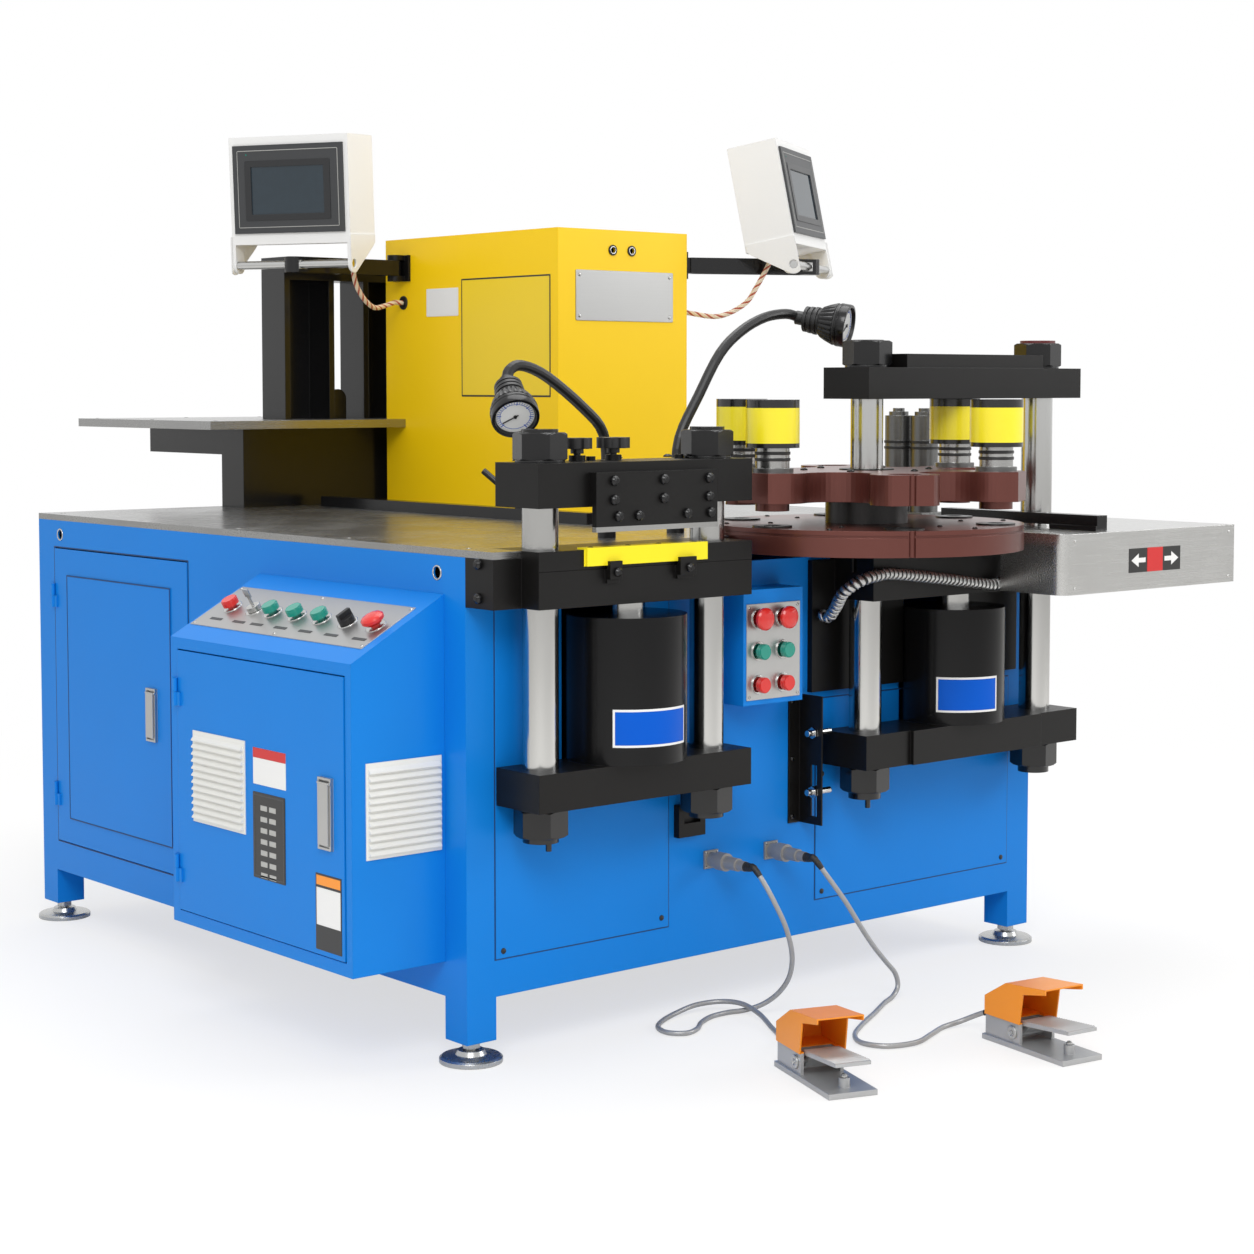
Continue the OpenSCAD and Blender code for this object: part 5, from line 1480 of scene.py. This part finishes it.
SCREW_SETS: tuple[ScrewSet, ...] = (
    ScrewSet("cover_screws", Form.SCREW,
             ((74, -1.5, 183), (421, -1.5, 188), (815, -1.5, 181), (1317, -1.5, 180),
              (815, -1.5, 400), (1317, -1.5, 528)), FRONT, 5.0, 2.4, Look.BLACK_PLASTIC),
    ScrewSet("back_screws", Form.SCREW, grid((92, 628, 792, 1328), (1490,), (192, 728)),
             BACK, 5.0, 2.4, Look.BLACK_PLASTIC),
    ScrewSet("right_screws", Form.SCREW, grid((1400,), (572, 1348), (192, 728)),
             RIGHT, 5.0, 2.4, Look.BLACK_PLASTIC),
    ScrewSet("clamp_screws", Form.SCREW, grid((209, 367), (-134,), (812,)),
             FRONT, 8.0, 8.0, Look.BLACK_GLOSS),
    ScrewSet("name_plate_rivets", Form.RIVET, grid((857, 1105), (754.4,), (1260, 1345)),
             FRONT, 4.4, 2.0, Look.CHROME),
    ScrewSet("trough_rivets", Form.RIVET, grid((1180, 1652), (-290,), (741, 828)),
             FRONT, 3.2, 1.4, Look.CHROME),
    ScrewSet("pendant_screws", Form.SCREW, grid((573, 691), (-61.5,), (568, 726)),
             FRONT, 3.0, 1.4, Look.CHROME),
    ScrewSet("panel_screws", Form.SCREW,
             tuple(on_panel(s, y, 1.5) for s in (47.0, 158.0) for y in (86.0, 348.0, 611.0)),
             PANEL_OUT, 3.4, 1.4, Look.CHROME),
    ScrewSet("sensor_screws", Form.SCREW, grid((736,), (-3,), (330, 436, 542)),
             FRONT, 5.0, 3.0, Look.BLACK_GLOSS),
    ScrewSet("socket_screws", Form.SCREW,
             grid((524.5, 549.5), (-4,), (264.5, 289.5))
             + grid((671.5, 696.5), (-4,), (262.5, 287.5)), FRONT, 2.2, 1.2, Look.CHROME),
    ScrewSet("worktop_screws", Form.RIVET,
             grid((30,), (30, 380, 745, 1110, 1440), (850,)) + ((660, 30, 850),),
             UP, 6.0, 0.8, Look.STEEL),
    ScrewSet("sheet_screws", Form.RIVET,
             grid((330,), (1330, 1600), (1040,)) + grid((330, 560, 760), (1850,), (1040,)),
             UP, 5.0, 0.8, Look.DARK_STEEL),
    ScrewSet("disc_screws", Form.SCREW, bolt_circle((118.0,), TOOL_TOP),
             UP, 7.0, 4.0, Look.BLACK_GLOSS, "turret"),
    ScrewSet("die_screws", Form.SCREW, bolt_circle((180.0, 262.0), 866.0),
             UP, 5.0, 2.5, Look.BLACK_GLOSS, "turret"),
    ScrewSet("die_strip_screws", Form.SCREW, grid((170, 250, 317, 397), (-112,), (853,)),
             UP, 5.0, 0.9, Look.BLACK_GLOSS),
    ScrewSet("blade_screws", Form.SCREW,
             grid((199, 306, 407), (-137,), (930, 961))
             + grid((208, 252, 358, 411), (-137,), (903,)),
             FRONT, 9.0, 10.0, Look.BLACK_GLOSS, "shear"),
    ScrewSet("block_screws", Form.SCREW, grid((0,), (-37,), (774, 829)),
             LEFT, 9.0, 9.0, Look.BLACK_GLOSS),
    ScrewSet("beam_screws", Form.SCREW, ((122, 20, 991), (340, 20, 991), (462, 30, 991)),
             UP, 8.0, 5.0, Look.BLACK_GLOSS, "shear"),
)


@dataclass(frozen=True)
class Turning:
    """One turned part: its outline, its foot and the direction that it looks to."""

    outline: tuple[Spot, ...]
    foot: Point
    outward: Point


@dataclass(frozen=True)
class TurnedSet:
    """Turned parts that make up one piece, in a frame of their own."""

    name: str
    parts: tuple[Turning, ...]
    steps: int
    look: Look
    slot: str
    frame: LocalFrame = CORNER
    up: Point = UP

    def build(self) -> None:
        """Builds the parts as one piece."""
        def fill(bm: BMesh) -> None:
            for part in self.parts:
                add_placed(bm, lambda form: add_lathe(form, part.outline, self.steps),
                           facing(Vector(part.foot) * MM, part.outward, self.up))

        build_piece(self.name, fill, self.look, place=self.frame.matrix())


WIDE_RIM = ((9.6, 0.0), (13.0, 0.0), (12.4, 1.2), (10.6, 1.6), (9.6, 0.6), (9.6, 0.0))
SMALL_RIM = ((6.2, 0.0), (8.2, 0.0), (8.0, 0.7), (6.4, 0.7), (6.2, 0.0))
BOSS = ((0.0, 0.0), (11.5, 0.0), (11.5, 2.4), (10.5, 3.4), (6.0, 3.4), (5.6, 2.4),
        (3.2, 2.4), (2.8, 4.4), (0.0, 4.6))
STUD = ((0.0, 24.0), (5.0, 24.0), (5.0, 27.6), (3.6, 28.4), (3.6, 29.4), (0.0, 30.4))
GROMMET = ((7.4, 0.0), (15.5, 0.0), (15.0, 2.4), (12.0, 3.4), (8.4, 3.0), (7.4, 1.6),
           (7.4, 0.0))

RIMS = (TurnedSet("hole_rims", (Turning(WIDE_RIM, (0.0, 77.0, 809.0), LEFT),
                                Turning(WIDE_RIM, (0.0, 1396.0, 809.0), LEFT)),
                  36, Look.CHROME, "tool_steel"),
        TurnedSet("socket_rims", (Turning(SMALL_RIM, (947.0, 753.5, 1398.0), FRONT),
                                  Turning(SMALL_RIM, (999.0, 753.5, 1398.0), FRONT)),
                  36, Look.CHROME, "tool_steel"))
PEDAL_METAL = tuple(
    TurnedSet(f"pedal_{side}_metal", (Turning(BOSS, (-38.5, 28.0, 27.0), LEFT),
                                      Turning(BOSS, (38.5, 28.0, 27.0), RIGHT),
                                      Turning(STUD, (0.0, -70.0, 0.0), UP)),
              32, Look.GALVANISED, "pedal_alloy", stand.frame(), (0.0, 1.0, 0.01))
    for side, stand in PEDALS)
GROMMETS = tuple(
    TurnedSet(f"grommet_{i}", (Turning(GROMMET, spot, out),), 40, Look.RUBBER, "gauge_black")
    for i, spot, out in ((1, LEFT_GROMMET, LEFT), (2, RIGHT_GROMMET, RIGHT)))


@dataclass(frozen=True)
class RodNuts:
    """Big hexagon nuts with turned faces, over the ends of the tie rods of one press."""

    body: str
    rods: tuple[Spot, ...]
    top: float
    foot: float
    levels: tuple[float, ...] = (0.0, 0.6, 1.2, 1.8, 2.6, 40.0, 41.0, 42.0, 42.8, 43.6, 44.6)
    corner: float = 45.4
    face: float = 40.6
    turn: float = 12.0

    def radius(self, z: float) -> Callable[[float], float]:
        """Returns the nut's radius by angle at a height above its foot."""
        side = math.radians(60.0)
        flat = self.corner * math.cos(side / 2.0)
        slope = math.tan(side)
        cone = min(self.face + (self.levels[-1] - z) * slope, self.face + 2.0 + z * slope)
        return lambda a: min(flat / math.cos(a % side - side / 2.0), cone)

    def build(self) -> None:
        """Builds all the nuts of the press as one piece."""
        sections = [(self.radius(z), z) for z in self.levels]
        turn = Matrix.Rotation(math.radians(self.turn), 4, "Z")

        def fill(bm: BMesh) -> None:
            for x, y in self.rods:
                for z, flip in ((self.top, 1.0), (self.foot, -1.0)):
                    add_placed(bm, lambda part: add_turned(part, sections, 72),
                               Matrix.Translation(LAYOUT.place(x, y, z)) @ turn
                               @ Matrix.Diagonal((1.0, flip, flip, 1.0)))

        build_piece(f"{self.body}_nuts", fill, Look.BLACK_GLOSS, self.body)


ROD_NUTS = (RodNuts("shear", ((107.0, -60.0), (473.0, -60.0)), 995.1, 423.9),
            RodNuts("punch", ((867.0, -60.0), (1343.0, -60.0)), 1152.1, 415.9))


@dataclass(frozen=True)
class EarPlates:
    """Two white side plates that hang a display on its tilt bar.

    `sides` lists the bearing of each straight edge and its distance from the bar.
    """

    side: str
    frame: LocalFrame
    reach: float = 145.05
    thick: float = 2.4
    bore: float = 9.6
    nose: float = 20.2
    nose_from: float = 180.0
    nose_to: float = 305.0
    sides: tuple[Spot, ...] = ((180.0, 13.0), (90.0, 62.0), (0.0, 97.0), (-55.0, 20.2))
    least_lean: float = 0.02

    def edge(self, angle: float) -> float:
        """Returns how far the plate reaches from the bar at an angle."""
        leans = [(math.cos(angle - math.radians(bearing)), gap) for bearing, gap in self.sides]
        best = min(gap / lean for lean, gap in leans if lean > self.least_lean)
        turned = math.degrees(angle) % 360.0
        return min(best, self.nose) if self.nose_from < turned < self.nose_to else best

    def build(self) -> None:
        """Builds both plates as one piece."""
        upright = Matrix(((0, 0, 1, 0), (1, 0, 0, 0), (0, 1, 0, 0), (0, 0, 0, 1)))
        sections = [(self.edge, 0.0), (self.edge, self.thick),
                    (lambda a: self.bore, self.thick), (lambda a: self.bore, 0.0)]

        def fill(bm: BMesh) -> None:
            for x in (-self.reach - self.thick, self.reach):
                add_placed(bm, lambda part: add_turned(part, sections, 144, closed=True),
                           Matrix.Translation((x * MM, 0.0, 0.0)) @ upright)

        body = f"screen_{self.side}"
        build_piece(f"{body}_ears", fill, Look.WHITE, body, self.frame.matrix())


# ------------------------------------------------------------------ the machine


def main() -> None:
    """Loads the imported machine, dresses it and adds its fine pieces."""
    logging.basicConfig(level=logging.INFO, format="%(name)s: %(message)s")
    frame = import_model()
    Viewpoint().set_up()
    for cord in CORDS:
        cord.build()
    Studio().set_up()
    dress_solids(frame["nodes"])
    for part in (WrappedHose(), *SCREEN_CABLES, *PLATES, ArrowPair(), *BARREL_SIGNS,
                 *(ScreenFace(*screen) for screen in SCREENS),
                 *(Dial(*gauge) for gauge in GAUGES), *SCREW_SETS, *RIMS, *ROD_NUTS,
                 *(EarPlates(*screen) for screen in SCREENS),
                 *(GaugeSleeve(*gauge) for gauge in GAUGES), *PEDAL_METAL, *GROMMETS):
        part.build()


if __name__ == "__main__":
    main()
